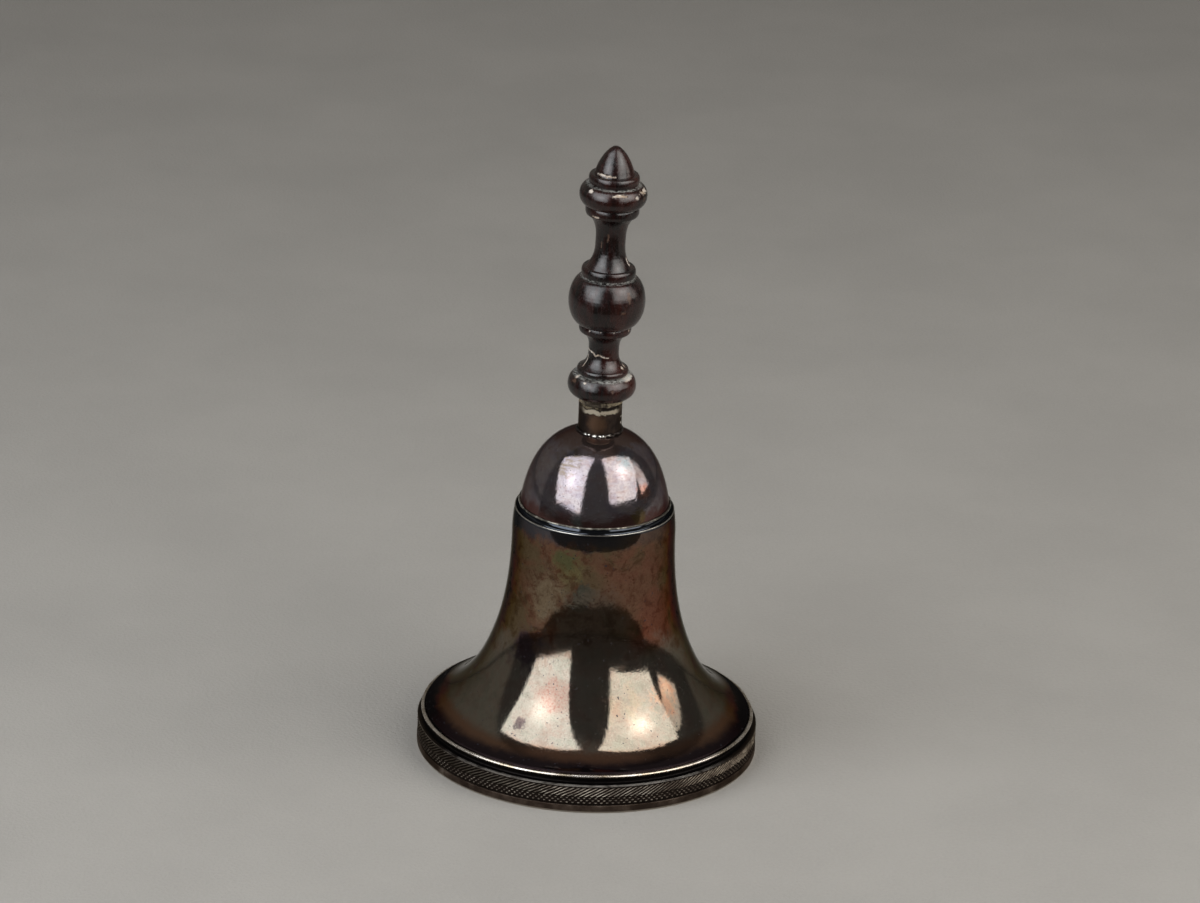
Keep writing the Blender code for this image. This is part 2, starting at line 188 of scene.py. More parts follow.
FLAG_Z = 0.0006
FLAG_OUTLINE = (
    (-1.6, 0.05), (-0.375, 0.02), (-0.385, -0.2), (-0.229, -0.152), (-0.14, -0.138), (-0.05, -0.168),
    (0.012, -0.177), (0.07, -0.158), (0.138, -0.128), (0.21, -0.115), (0.49, -0.17), (1.3, -0.25),
    (1.3, -1.5), (-1.6, -1.5),
)
FLAG_TONE = (0.07, 0.062, 0.05, 1)
flag_finish = finish("flag_finish", Base_Color=FLAG_TONE, Roughness=1, Specular_IOR_Level=0)[0]
flag = sheet("flag", [(x, y, FLAG_Z) for x, y in FLAG_OUTLINE], flag_finish)
shown_in_gloss_only(flag)

BELL_MIDDLE = Vector((0, 0, 0.035))
BOX_DISTANCE = 0.7
FADE = 2.718  # base of the curve that a softbox's hot middle fades by


def towards(bearing, rise):
    """Unit vector from the bell at a bearing and a rise above the table, in degrees."""
    turn, lift = math.radians(bearing), math.radians(rise)
    return Vector((math.sin(turn) * math.cos(lift), -math.cos(turn) * math.cos(lift), math.sin(lift)))


def softbox(name, corners, brightness, hot, hot_at, hot_reach, glow, tint):
    """A softbox: a cloth front that the plate mirrors, with a hot middle, and a light behind it."""
    points = [BELL_MIDDLE + Vector(c) * BOX_DISTANCE for c in corners]
    across, up = points[1] - points[0], points[3] - points[0]
    facing = across.cross(up).normalized()
    middle = sum(points, Vector()) / 4
    ray_end = BELL_MIDDLE + towards(*hot_at)
    hot_point = geometry.intersect_line_plane(BELL_MIDDLE, ray_end, middle, facing)

    made = bpy.data.materials.new(name)
    made.use_nodes = True
    tree = made.node_tree
    tree.nodes.clear()
    start = Socket(tree, None)
    away = start.node("TexCoord", out="Object").away(*hot_point)
    strength = brightness + (hot - brightness) * FADE ** (-1 * (away * (1 / hot_reach)) ** 2)
    front = start.node("Emission", None, {"Color": (*tint, 1), "Strength": strength})
    tree.links.new(front.output, tree.nodes.new("ShaderNodeOutputMaterial").inputs["Surface"])
    panel = sheet(name, points, made)
    shown_in_gloss_only(panel)

    light = bpy.data.lights.new(name + "_light", "AREA")
    light.shape = "RECTANGLE"
    light.size, light.size_y = across.length, up.length
    light.energy = glow * math.pi * across.length * up.length
    light.color = tint
    lamp = add_object(name + "_light", light)
    lamp.location = middle
    lamp.rotation_euler = (BELL_MIDDLE - middle).to_track_quat("-Z", "Y").to_euler()
    lamp.visible_glossy = False


COOL, WARM = (0.94, 0.97, 1), (1, 0.985, 0.95)
# Corners in box distances from the bell's middle
LEFT_BOX = (
    (-1.184, -0.599, 0.14), (-0.36, -0.93, 0.075), (-0.043, -0.234, 0.86), (-0.867, 0.097, 0.925),
)
RIGHT_BOX = (
    (0.406, -0.9, 0.205), (1.197, -0.4125, 0.185), (0.902, 0.229, 0.955), (0.111, -0.259, 0.975),
)
SIDE_PANEL = ((1.2, -0.18, 0.17), (1.16, 0.22, 0.17), (0.98, 0.19, 0.86), (1.02, -0.15, 0.86))
softbox("left_softbox", LEFT_BOX, 4, 7.5, (-47, 33), 0.12, 2.3, COOL)
softbox("right_softbox", RIGHT_BOX, 3.7, 8, (61, 42), 0.11, 2, WARM)
softbox("side_panel", SIDE_PANEL, 2, 3.6, (88, 12), 0.1, 0.4, (1, 0.93, 0.86))

# The room is dark in front and lighter behind the bell, where the cloth runs up a wall.
ROOM = (0.042, 0.04, 0.04)
SWEEP = (0.2, 0.19, 0.17)
CEILING = (0.17, 0.15, 0.14)
BACKDROP = (0.3, 0.285, 0.265)
world = bpy.data.worlds.new("room")
world.use_nodes = True
bpy.context.scene.world = world
start = Socket(world.node_tree, None)
heading = start.node("TexCoord", out="Generated")
behind = (heading.axis("Y") - heading.axis("X") * 0.26).step(0.27, 0.37)
mirrored = behind.mix(heading.axis("Z").step(0.88, 0.97).mix(ROOM, CEILING), SWEEP)
seen = start.node("LightPath", out="Is Camera Ray")
room_colour = world.node_tree.nodes["Background"].inputs["Color"]
world.node_tree.links.new(seen.mix(mirrored, BACKDROP).output, room_colour)

CAMERA_PLACE = (0.00063, -1.06395, 0.48284)
CAMERA_DOWN = 21.674
CAMERA_ROLL = 2.145
CAMERA_LENS, CAMERA_SENSOR = 182.2, 36
camera_data = bpy.data.cameras.new("camera")
camera_data.lens = CAMERA_LENS
camera_data.sensor_width = CAMERA_SENSOR
camera = add_object("camera", camera_data)
tilt = Matrix.Rotation(math.radians(90 - CAMERA_DOWN), 4, "X")
roll = Matrix.Rotation(math.radians(CAMERA_ROLL), 4, "Z")
camera.matrix_world = Matrix.Translation(CAMERA_PLACE) @ (tilt @ roll)
bpy.context.scene.camera = camera
bpy.context.scene.view_settings.view_transform = "Standard"


# Mouth ring: the heavy ring that the bell stands on, turned from silver-plated brass. It has
# a plain foot, a seat for the milled strip and a narrow cove under the bead, and is soldered
# to the skirt.

def bezier(a, b, c, d, steps):
    """Points of a cubic curve from a to d, both ends included."""
    t = np.linspace(0, 1, steps + 1)[:, None]
    a, b, c, d = (np.array(p, float) for p in (a, b, c, d))
    return (1 - t) ** 3 * a + 3 * (1 - t) ** 2 * t * b + 3 * (1 - t) * t * t * c + t**3 * d


def filleted(corners, steps=5):
    """A closed section's corners (radius, height, fillet), each rounded to its fillet."""
    section = []
    count = len(corners)
    for i, (r, z, fillet) in enumerate(corners):
        here = Vector((r, z))
        before = (Vector(corners[i - 1][:2]) - here).normalized()
        after = (Vector(corners[(i + 1) % count][:2]) - here).normalized()
        if fillet == 0:
            section.append((r, z))
            continue
        half = math.acos(max(-1, min(1, before.dot(after)))) / 2
        reach = fillet / math.tan(half)
        centre = here + (before + after).normalized() * fillet / math.sin(half)
        start, end = here + before * reach - centre, here + after * reach - centre
        sweep = start.angle_signed(end)
        for k in range(steps + 1):
            turn = -sweep * k / steps
            c, s = math.cos(turn), math.sin(turn)
            spot = centre + Vector((start.x * c - start.y * s, start.x * s + start.y * c))
            section.append((spot.x, spot.y))
    return section


def tidy_mesh(name, points, faces, sharp=35):
    """A mesh with its poles merged, its normals outwards and only its real edges sharp."""
    mesh = bpy.data.meshes.new(name)
    mesh.from_pydata(points, [], faces)
    work = bmesh.new()
    work.from_mesh(mesh)
    bmesh.ops.remove_doubles(work, verts=work.verts, dist=0.0005 * MM)
    bmesh.ops.recalc_face_normals(work, faces=work.faces)
    work.to_mesh(mesh)
    work.free()
    mesh.shade_smooth()
    mesh.set_sharp_from_angle(angle=math.radians(sharp))
    return mesh


def turned(name, section, facets, reshape=None, ring=True, sharp=35):
    """A turned piece. A ring's section is closed; a solid's runs from the axis to the axis."""
    r, z = (np.repeat(np.array(column, float)[:, None], facets, 1) for column in zip(*section))
    bearing = np.repeat(np.linspace(-math.pi, math.pi, facets, endpoint=False)[None], len(r), 0)
    if reshape:
        r, z = reshape(bearing, r, z)
    points = np.stack((r * np.sin(bearing), -r * np.cos(bearing), z), -1).reshape(-1, 3) * MM
    rows = len(section)
    faces = []
    for i in range(rows if ring else rows - 1):
        low, high = i * facets, (i + 1) % rows * facets
        for k in range(facets):
            after = (k + 1) % facets
            faces.append((low + k, low + after, high + after, high + k))
    return add_object(name, tidy_mesh(name, points.tolist(), faces, sharp))


def fit(obj, made, body, slot, *nodes):
    """Gives a piece its finish and its place among the bodies and nodes; slot is not used."""
    obj.data.materials.append(made)
    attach(obj, body)
    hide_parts(*nodes)


MOUTH_R = 32.5
RIM_INNER = 30.3
FOOT_H = 1.5
SEAT_R = 31.65
STRIP_TOP = 5.4
RIM_TOP = 6.2
COVE_R = 30.95
FOOT_EDGE, COVE_ROUND = 0.18, 0.25
RIM_FACETS = 288

rim_finish, on_rim = finish("rim_finish", Metallic=0.85, Specular_Tint=DULL_TINT)
rim_blots = on_rim.grain(3.2, 5)
rim_specks = on_rim.grain(0.35, 3)
rim_height = on_rim.axis("Z")
# Pale along the foot's bottom edge: a painted highlight line there, also rub wear; pale rubbed blots over
# the tarnish above it.
rim_tarnish_above_edge_highlight = (rim_height.step(0.12, 0.45) * (1 - rim_blots.step(0.55, 0.8) * 0.5)).step(0, 1)
rim_dark = rim_blots.step(0.35, 0.7).mix((0.03, 0.02, 0.015), (0.085, 0.062, 0.048))
rim_tone = rim_tarnish_above_edge_highlight.mix((0.34, 0.3, 0.25), rim_dark)
# The cove and ring top under the bead are painted near black: painted shade in the recess.
cove_painted_shade = rim_height.step(4.8, 5.2) * on_rim.radius().step(30.45, 30.6)
drive(
    rim_finish, rim_specks, 0.03,
    Base_Color=cove_painted_shade.mix(rim_tone, (0.006, 0.005, 0.005)),
    Roughness=0.34 + rim_specks * 0.25,
)
ring_section = filleted((
    (RIM_INNER, 0, 0.15), (MOUTH_R, 0, FOOT_EDGE), (MOUTH_R, FOOT_H, 0.08), (SEAT_R, FOOT_H, 0),
    (SEAT_R, STRIP_TOP + 0.05, 0), (COVE_R, STRIP_TOP + 0.15, COVE_ROUND), (COVE_R, RIM_TOP, 0),
    (COVE_R + 0.2, RIM_TOP + 0.35, 0), (RIM_INNER, RIM_TOP + 0.35, 0.1),
))
fit(turned("mouth_ring_piece", ring_section, RIM_FACETS), rim_finish, "bell", "rim_plate", "mouth_ring")


# Milled strip: a band of soft silver rolled through a pattern wheel, bent round the ring and
# soldered in its seat. Its upper part has long slanting ridges, and three rows of short
# dashes run below them.

STRIP_LOW = 1.55
STRIP_IN = 31.7
RIDGES = 188
DASHES = 188
RIDGE_RISE = 0.55  # slope of a ridge
RIDGE_BAND = (3.1, 5.2)
DASH_BAND = (1.75, 3.15)
DASH_ROWS = 3
RELIEF_H = 0.3
LIP_H = 5.3


def ramp_up(value, start, end):
    """0 before start and 1 after end, smooth between them; start may be the higher."""
    t = np.clip((value - start) / (end - start), 0, 1)
    return t * t * (3 - 2 * t)


def milled(bearing, r, z):
    """Raises the pattern on the strip's outer face."""
    arc = bearing * MOUTH_R
    wobble = 0.25 * np.sin(bearing * 31) + 0.18 * np.sin(bearing * 53 + 1)
    slant = RIDGES * bearing - RIDGES / (MOUTH_R * RIDGE_RISE) * (z - RIDGE_BAND[0]) + wobble
    ridge = (0.5 + 0.5 * np.cos(slant)) ** 1.5
    low, high = RIDGE_BAND
    ridge = ridge * ramp_up(z, low, low + 0.25) * ramp_up(z, high, high - 0.2)
    row_h = (DASH_BAND[1] - DASH_BAND[0]) / DASH_ROWS
    row = np.floor((z - DASH_BAND[0]) / row_h)
    inside = (z - DASH_BAND[0]) / row_h - row
    lean = DASHES * bearing + math.pi * row - 1.4 * inside + 0.5 * wobble
    dash = ramp_up(np.cos(lean), -0.3, 0.5) * ramp_up(np.sin(math.pi * inside), 0.35, 0.95)
    dash = dash * ((z > DASH_BAND[0]) & (z < DASH_BAND[1]))
    height = np.maximum(ridge, 0.75 * dash)
    lip = ramp_up(z, LIP_H - 0.08, LIP_H) * ramp_up(z, STRIP_TOP + 0.02, STRIP_TOP - 0.05)
    height = np.maximum(height, lip)
    pressed = 0.04 * np.sin(arc * 0.7) + 0.03 * np.sin(arc * 1.9 + z)
    outer = r > MOUTH_R - 0.6
    return r + outer * (np.clip(height + pressed * (height > 0.1), 0, 1) - 1.05) * RELIEF_H, z


strip_rows = np.linspace(STRIP_TOP, STRIP_LOW, 56)
strip_section = [(STRIP_IN, STRIP_LOW), (STRIP_IN, STRIP_TOP)] + [(MOUTH_R, z) for z in strip_rows]
strip_finish, on_strip = finish("strip_finish", Metallic=0.9, Specular_Tint=(0.6, 0.55, 0.5, 1))
strip_x, strip_y, strip_z = (on_strip.axis(name) for name in "XYZ")
raised = on_strip.radius().step(32.28, 32.46)
strip_wear = on_strip.grain(2.4, 4)
strip_grit = on_strip.grain(0.25, 2)
ridge_tone = strip_wear.step(0.35, 0.7).mix((0.09, 0.071, 0.055), (0.27, 0.235, 0.19))
# Painted shade: the ridges are painted darker towards the right, where the right softbox's reflection
# falls.
ridge_tone = (strip_x.step(10, 24) * 0.9).stain(ridge_tone, (0.52, 0.5, 0.46))
strip_tone = (raised * (0.7 + 0.3 * strip_grit)).mix((0.014, 0.01, 0.008), ridge_tone)
# Painted highlight: a pale line on the strip's top edge, at the front only, broken up in blots.
front_edge_highlight = strip_z.step(5.3, 5.34) * strip_wear.step(0.25, 0.6) * strip_y.step(-16, -28)
drive(
    strip_finish, strip_grit, 0.03,
    Base_Color=front_edge_highlight.mix(strip_tone, (0.36, 0.33, 0.3)),
    Roughness=0.52 - raised * 0.14 + strip_grit * 0.1,
)
strip = turned("milled_strip_piece", strip_section, RIDGES * 8, milled, sharp=60)
fit(strip, strip_finish, "bell", "rim_plate", "milled_strip")


# Bead: a half-round silver wire laid over the joint of skirt and ring and run in with solder.
# It stays bright on top, because every cloth rubs over it; its lower half is painted near black as shade.

BEAD_R, BEAD_Z = 31.4, 6.95
BEAD_SECTION = 0.4


def wire_section(r, z, radius, steps=12):
    turns = [math.tau * k / steps for k in range(steps)]
    return [(r + radius * math.cos(t), z + radius * math.sin(t)) for t in turns]


def bead_wear(bearing, r, z):
    swell_here = 1 + 0.05 * np.sin(bearing * 9 + 1) + 0.04 * np.sin(bearing * 23)
    return BEAD_R + (r - BEAD_R) * swell_here, BEAD_Z + (z - BEAD_Z) * swell_here


bright_finish, on_bright = finish("bright_edge_finish", Metallic=0.95, Specular_Tint=(0.8, 0.78, 0.75, 1))
bright_blots = on_bright.grain(5, 4)
bright_nicks = on_bright.grain(0.5, 3)
bright_tone = bright_blots.step(0.3, 0.65).mix((0.26, 0.21, 0.14), (0.62, 0.57, 0.52))
# The bead's lower half is painted near black: painted shade under the bead.
bright_tone = on_bright.axis("Z").step(7.08, 6.98).mix(bright_tone, (0.012, 0.009, 0.008))
drive(
    bright_finish, bright_nicks, 0.02,
    Base_Color=bright_nicks.step(0.58, 0.7).mix(bright_tone, (0.12, 0.09, 0.07)),
    Roughness=0.2 + bright_nicks * 0.15,
)
bead_section = wire_section(BEAD_R, BEAD_Z, BEAD_SECTION, 24)
bead = turned("rim_bead_piece", bead_section, RIM_FACETS, bead_wear)
fit(bead, bright_finish, "bell", "bright_edge", "rim_bead")


# Skirt: the bell's flared body, spun from one sheet of brass and silver-plated. The plate is
# tarnished in brown, olive and violet clouds, stained dark towards the mouth and spotted. Its
# shoulder turns in to a flat ledge that carries the crown.

SHELL_T = 0.9
LEDGE_Z = 49.85
LEDGE_IN = 12.6
WAIST_R = 15.5
ON_LINE = 0.02  # how near its section's line a vertex must be to belong to it


def offset(line, distance):
    """A line moved sideways by distance, to its left."""
    along = np.gradient(line, axis=0)
    along /= np.linalg.norm(along, axis=1)[:, None]
    return line + np.stack((-along[:, 1], along[:, 0]), -1) * distance


def rounded_in(start, corner, end, steps):
    """A curve from start to end that rounds a corner."""
    start, corner, end = (np.array(p, float) for p in (start, corner, end))
    return bezier(start, (start + 2 * corner) / 3, (end + 2 * corner) / 3, end, steps)


LIP = (15.09, 49.05)
ledge_line = [(14.3, LEDGE_Z), (14.36, LEDGE_Z - 0.08), (14.44, 49.06), (14.52, 48.97), (14.78, 48.94)]
ledge_line += [*rounded_in((14.86, 48.98), (14.95, LIP[1]), (15.02, LIP[1] - 0.01), 5)]
ledge_line += [*rounded_in((15.05, LIP[1] - 0.03), LIP, (15.118, 48.75), 6)]
lean_start, lean = 44.3, 0.0193
shoulder_z = np.linspace(48.75, lean_start, 30)
shoulder_line = np.stack((WAIST_R - lean * (shoulder_z - lean_start) ** 2, shoulder_z), -1)
waist_line = bezier((WAIST_R, 44.3), (WAIST_R, 34.5), (16.6, 26.3), (20.2, 18.5), 60)
flare_line = bezier((20.2, 18.5), (23, 12.4), (27.4, 8.9), (30.65, 7.8), 60)
lap_line = np.array([(30.65, 7.8), (30.92, 7.71), (31.02, 7.2), (31.02, 6.62)])
wall_line = np.concatenate((shoulder_line, waist_line[1:], flare_line[1:], lap_line[1:]))
inner_line = offset(wall_line, -SHELL_T)[6:]
skirt_section = [(LEDGE_IN, LEDGE_Z), *ledge_line, *wall_line[1:]]
outer_count = len(skirt_section)
skirt_section += [*inner_line[::-1], (13.9, LEDGE_Z - SHELL_T), (LEDGE_IN, LEDGE_Z - SHELL_T)]
skirt = turned("skirt_piece", skirt_section, 192)

skirt_finish, on_skirt = finish("skirt_finish", Specular_Tint=(0.21, 0.2, 0.17, 1))
sx, sy, sz = (on_skirt.axis(name) for name in "XYZ")
clouds = on_skirt.grain(11, 6, 0.62, 0.6).step(0.34, 0.66)
drift = on_skirt.stretched(1, 1, 0.6).grain(5, 6, 0.68, 0.8).step(0.34, 0.66)
mottle = on_skirt.grain(2.6, 6, 0.72, 0.4).step(0.34, 0.66)
fine = on_skirt.grain(0.8, 5, 0.75).step(0.32, 0.68)
grit = on_skirt.grain(0.3, 3, 0.7).step(0.3, 0.7)
ragged = (clouds - 0.5) * 2.6 + (mottle - 0.5) * 2.8 + (fine - 0.5) * 0.9


def stained(tone, place, ragged_by, stains):
    """Lays stains over a tone, each between two distances from its point, ragged by its own amount."""
    for at, rough, start, full, share, colour in stains:
        here = (place.away(*at) + ragged_by * rough).step(start, full)
        tone = (here * share).mix(tone, colour)
    return tone


BROWN, RUSSET, OLIVE = (0.182, 0.116, 0.076), (0.196, 0.096, 0.06), (0.16, 0.122, 0.072)
IVORY, INK = (0.215, 0.19, 0.155), (0.028, 0.03, 0.04)
base = drift.mix(BROWN, RUSSET)
base = (clouds.step(0.45, 0.85) * 0.9).mix(base, OLIVE)
base = stained(base, on_skirt, ragged, (
    ((-4, -15, 41.4), 1, 4.2, 1.4, 0.8, (0.205, 0.18, 0.085)),
    ((-4.6, -14.8, 43.2), 1, 2.4, 0.4, 0.8, (0.12, 0.128, 0.062)),
    # This olive blot is painted light: partly its tarnish, partly a painted reflection on the bell's left
    # side.
    ((-8.2, -13.7, 35.8), 1, 5.6, 1.6, 0.8, (0.255, 0.205, 0.135)),
    ((-1.6, -15.8, 37.3), 1, 3.2, 1.2, 0.85, (0.042, 0.066, 0.056)),
    ((12.2, -11.3, 29.5), 1, 8, 3, 0.7, (0.22, 0.07, 0.042)),
    ((8, -13.6, 38), 1, 10, 4, 0.7, (0.215, 0.104, 0.07)),
))
# Below the waist the plate is painted paler, in ivory: lighter tarnish there, and also painted light
# where the softboxes' reflections fall; mottling is kept weaker in that zone.
low = (sz + ragged * 0.9).step(29, 22)
base = stained(low.mix(base, IVORY), on_skirt, ragged, (
    ((-12.6, -13, 25), 1, 5.2, 1.2, 0.85, (0.062, 0.04, 0.052)),
    ((0.5, -16.8, 31.5), 1, 9.5, 4.5, 0.75, (0.15, 0.128, 0.1)),
    ((5, -20.5, 16.5), 1, 5.6, 1.6, 0.45, (0.25, 0.18, 0.12)),
    ((15, -15.4, 16), 1, 3.8, 1.4, 0.8, (0.29, 0.18, 0.12)),
))
above = 1 - 0.65 * low
base = (mottle.step(0.45, 1) * above).stain(base, (0.66, 0.6, 0.58))
base = (fine * 0.8 * above).stain(base, (0.8, 0.77, 0.74))
base = (grit * 0.7).stain(base, (0.84, 0.8, 0.78))
stain = on_skirt.grain(3.4, 6, 0.72, 0.5).step(0.34, 0.66)
base = (low * stain.step(0.5, 1) * 0.5).stain(base, (0.96, 0.78, 0.76))
base = (low * stain.step(0.5, 0) * 0.6).stain(base, (0.84, 0.94, 0.92))
# Painted dark reflection: a blue-grey band under the shoulder's lip, heavier towards the left.
shoulder_dark_reflection = (sz + ragged * 0.4).step(45.4, 47.6)
shoulder_dark_reflection = shoulder_dark_reflection * (0.45 + 0.55 * (sx + ragged * 0.5).step(8.5, 3.5))
base = (shoulder_dark_reflection * 0.85).mix(base, (0.055, 0.062, 0.075))
# Painted shade: the ledge between the lip and the crown is painted dark blue-grey.
base = sz.step(48.4, 48.7).mix(base, (0.045, 0.05, 0.06))
# Painted highlight: a pale line along the rounded lip of the shoulder.
painted_lip_highlight = (sz + fine * 0.06).step(48.82, 48.92) * on_skirt.radius().step(14.82, 14.92)
base = painted_lip_highlight.mix(base, (0.46, 0.44, 0.41))
speckle = on_skirt.grain(0.42, 3, 0.8).step(0.5, 0.64)
pink = (on_skirt.away(-5.9, -19.7, 17.4) + ragged * 0.6).step(4.4, 1.8)
base = (pink * (0.45 + 0.55 * speckle)).mix(base, (0.15, 0.074, 0.056))
spot = (on_skirt.away(-12.5, -20.4, 12.3) + (fine - 0.5) * 0.9).step(1.5, 0.85)
base = (spot * (0.6 + 0.4 * speckle)).mix(base, (0.05, 0.03, 0.036))
base = ((sz + ragged * 0.12).step(10.6, 9.3) * 0.85).mix(base, (0.18, 0.094, 0.057))
base = (sz + ragged * 0.08).step(9.3, 8.1).mix(base, (0.036, 0.026, 0.03))
# Painted highlight: a pale line along the flare's edge, at the front only, broken in blots.
front_flare_edge_highlight = sz.step(8.08, 7.98) * sz.step(7.84, 7.9) * sy.step(-29, -30.3)
front_flare_edge_highlight = front_flare_edge_highlight * on_skirt.grain(3, 3).step(0.5, 0.56)
base = (front_flare_edge_highlight * 0.8).mix(base, (0.26, 0.22, 0.215))
dirt = on_skirt.grain(0.36, 2, 0.5).step(0.6, 0.7)
pits = on_skirt.grain(0.62, 2, 0.5).step(0.68, 0.74)
base = (dirt * 0.6 * above).stain(base, (0.45, 0.4, 0.38))
base = (pits * 0.8).mix(base, INK)
haze = on_skirt.grain(6, 6, 0.72).step(0.4, 0.75)
drive(
    skirt_finish, clouds * 0.4 + drift * 0.15 + mottle * 0.05 + fine * 0.02, 0.025,
    Base_Color=base,
    Roughness=0.035 + haze * 0.06 + fine * 0.02 + spot * 0.2 + dirt * 0.1 + painted_lip_highlight * 0.12,
    Metallic=0.92 - pits * 0.5 - spot * 0.2,
)
inside_finish, in_shell = finish("inside_finish", Metallic=0.8, Specular_Tint=DULL_TINT)
inside_clouds = in_shell.grain(8, 5, 0.6)
spin_lines = in_shell.stretched(0.05, 0.05, 4).grain(1, 2)
drive(
    inside_finish, spin_lines, 0.02,
    Base_Color=inside_clouds.step(0.35, 0.7).mix((0.16, 0.105, 0.06), (0.27, 0.21, 0.14)),
    Roughness=0.36 + inside_clouds * 0.2,
)


def line_shell(obj, section, outer_rows):
    """Gives the faces on a shell's inner side its inside finish."""
    obj.data.materials.append(inside_finish)
    inner_r, inner_z = np.array(section[outer_rows:]).T
    lined = []
    for vertex in obj.data.vertices:
        x, y, z = vertex.co / MM
        gap = np.hypot(inner_r - math.hypot(x, y), inner_z - z).min()
        lined.append(gap < ON_LINE)
    for face in obj.data.polygons:
        if all(lined[i] for i in face.vertices):
            face.material_index = 1


fit(skirt, skirt_finish, "bell", "skirt_plate", "skirt_shell")
line_shell(skirt, skirt_section, outer_count)


# Crown: the domed top of the bell, a second spun shell soldered on the skirt's ledge. Its
# plate has tarnished to violet and brown. The solder shows as a thin, lumpy, greenish line.

crown_line = bezier((1.7, 65), (10.45, 63.83), (12.95, 57), (14.1, 50.3), 70)
crown_line = np.concatenate((crown_line, [(14.16, 49.9)]))
crown_section = [*crown_line]
crown_rows = len(crown_section)
crown_section += [*offset(crown_line, -SHELL_T)[::-1]]
crown = turned("crown_piece", crown_section, 176)

crown_finish, on_crown = finish("crown_finish", Specular_Tint=(0.25, 0.2, 0.18, 1))
cz = on_crown.axis("Z")
crown_clouds = on_crown.grain(5, 6, 0.65, 0.7).step(0.34, 0.66)
crown_fine = on_crown.grain(0.7, 5, 0.75).step(0.32, 0.68)
crown_grit = on_crown.grain(0.28, 3, 0.7).step(0.3, 0.7)
crown_smear = on_crown.stretched(1, 1, 2.4).grain(3, 6, 0.72, 0.5).step(0.34, 0.66)
crown_ragged = (crown_clouds - 0.5) * 2.4 + (crown_fine - 0.5) * 1.2
tone = crown_clouds.mix((0.19, 0.172, 0.192), (0.245, 0.222, 0.222))
tone = (crown_smear.step(0.4, 1) * 0.7).stain(tone, (0.88, 0.76, 0.72))
tone = (crown_fine * 0.6).stain(tone, (0.86, 0.8, 0.82))
tone = (crown_grit * 0.8).stain(tone, (0.84, 0.82, 0.82))
tone = stained(tone, on_crown, crown_ragged, (
    ((-5.6, -8.6, 61), 1, 3.6, 1.6, 0.9 * crown_smear.step(0.1, 0.8), (0.12, 0.095, 0.072)),
    ((5.6, -8, 61), 0.6, 2.6, 0.6, 0.7, (0.125, 0.165, 0.175)),
    ((9, -8.9, 55.6), 0.6, 1.9, 0.7, 0.4 + 0.5 * crown_fine, (0.26, 0.115, 0.075)),
))
tone = (cz + crown_ragged * 0.7).step(61.6, 63.4).mix(tone, (0.13, 0.092, 0.082))
tone = (cz + crown_ragged * 0.6).step(52.8, 50.8).mix(tone, (0.115, 0.06, 0.055))
tone = stained(tone, on_crown, crown_ragged, (
    ((8.5, -10.9, 51.8), 0.5, 1.9, 0.8, 0.7, (0.14, 0.105, 0.04)),
    ((-3.2, -13.5, 51.4), 0.4, 1.4, 0.5, 0.6, (0.11, 0.15, 0.14)),
))
crown_dirt = on_crown.grain(0.36, 2, 0.5).step(0.6, 0.7)
crown_pits = on_crown.grain(0.5, 2, 0.5).step(0.68, 0.74)
tone = (crown_dirt * 0.6).stain(tone, (0.5, 0.42, 0.42))
tone = (crown_pits * 0.7).mix(tone, INK)
drive(
    crown_finish, crown_clouds * 0.5 + crown_smear * 0.06 + crown_fine * 0.02, 0.025,
    Base_Color=tone,
    Roughness=0.03 + crown_smear * 0.05 + crown_fine * 0.03 + crown_dirt * 0.1,
    Metallic=0.86 - crown_pits * 0.4,
)
fit(crown, crown_finish, "bell", "crown_plate", "crown_shell")
line_shell(crown, crown_section, crown_rows)

SOLDER_R, SOLDER_Z = 14.3, 50.02
SOLDER_SECTION = 0.19


def lumps(points, size, seed):
    """Smooth noise, about -1 to 1, at many points given in millimetres."""
    shift = Vector((seed * 7.3, seed * 3.1, seed * 5.7))
    shape = points.shape[:-1]
    flat = [noise.noise(Vector(p) / size + shift) for p in points.reshape(-1, 3)]
    return np.array(flat).reshape(shape) * 1.6


def on_bearing(bearing, r, z):
    return np.stack((r * np.sin(bearing), -r * np.cos(bearing), z), -1)


def lumpy(centre_r, centre_z, size, amount, seed):
    """Swells a ring's section unevenly round its own middle."""
    def reshape(bearing, r, z):
        swell_here = 1 + amount * lumps(on_bearing(bearing, r, z), size, seed)
        return centre_r + (r - centre_r) * swell_here, centre_z + (z - centre_z) * swell_here
    return reshape


solder_finish, on_solder = finish("solder_finish", Metallic=0.9)
solder_blots = on_solder.grain(1.6, 4)
solder_grit = on_solder.grain(0.3, 3)
solder_tone = solder_blots.step(0.45, 0.62).mix((0.075, 0.07, 0.058), (0.42, 0.4, 0.34))
drive(
    solder_finish, solder_grit, 0.05,
    Base_Color=solder_grit.step(0.55, 0.68).mix(solder_tone, (0.04, 0.032, 0.027)),
    Roughness=0.32 + solder_grit * 0.25,
)
crown_solder = turned(
    "crown_solder_piece", wire_section(SOLDER_R, SOLDER_Z, SOLDER_SECTION), 360,
    lumpy(SOLDER_R, SOLDER_Z, 1.3, 0.35, 1),
)
fit(crown_solder, solder_finish, "bell", "solder", "crown_solder")


# Ferrule: a short silver tube, seamed at the right, soldered to the crown's top a little off
# the bell's axis. It is nearly black with tarnish, and rubbed bright in a band near its mouth.

FERRULE_X = 0.4
FERRULE_R, FERRULE_BORE = 4.1, 3.6
FERRULE_LOW, FERRULE_TOP = 64.75, 70.4


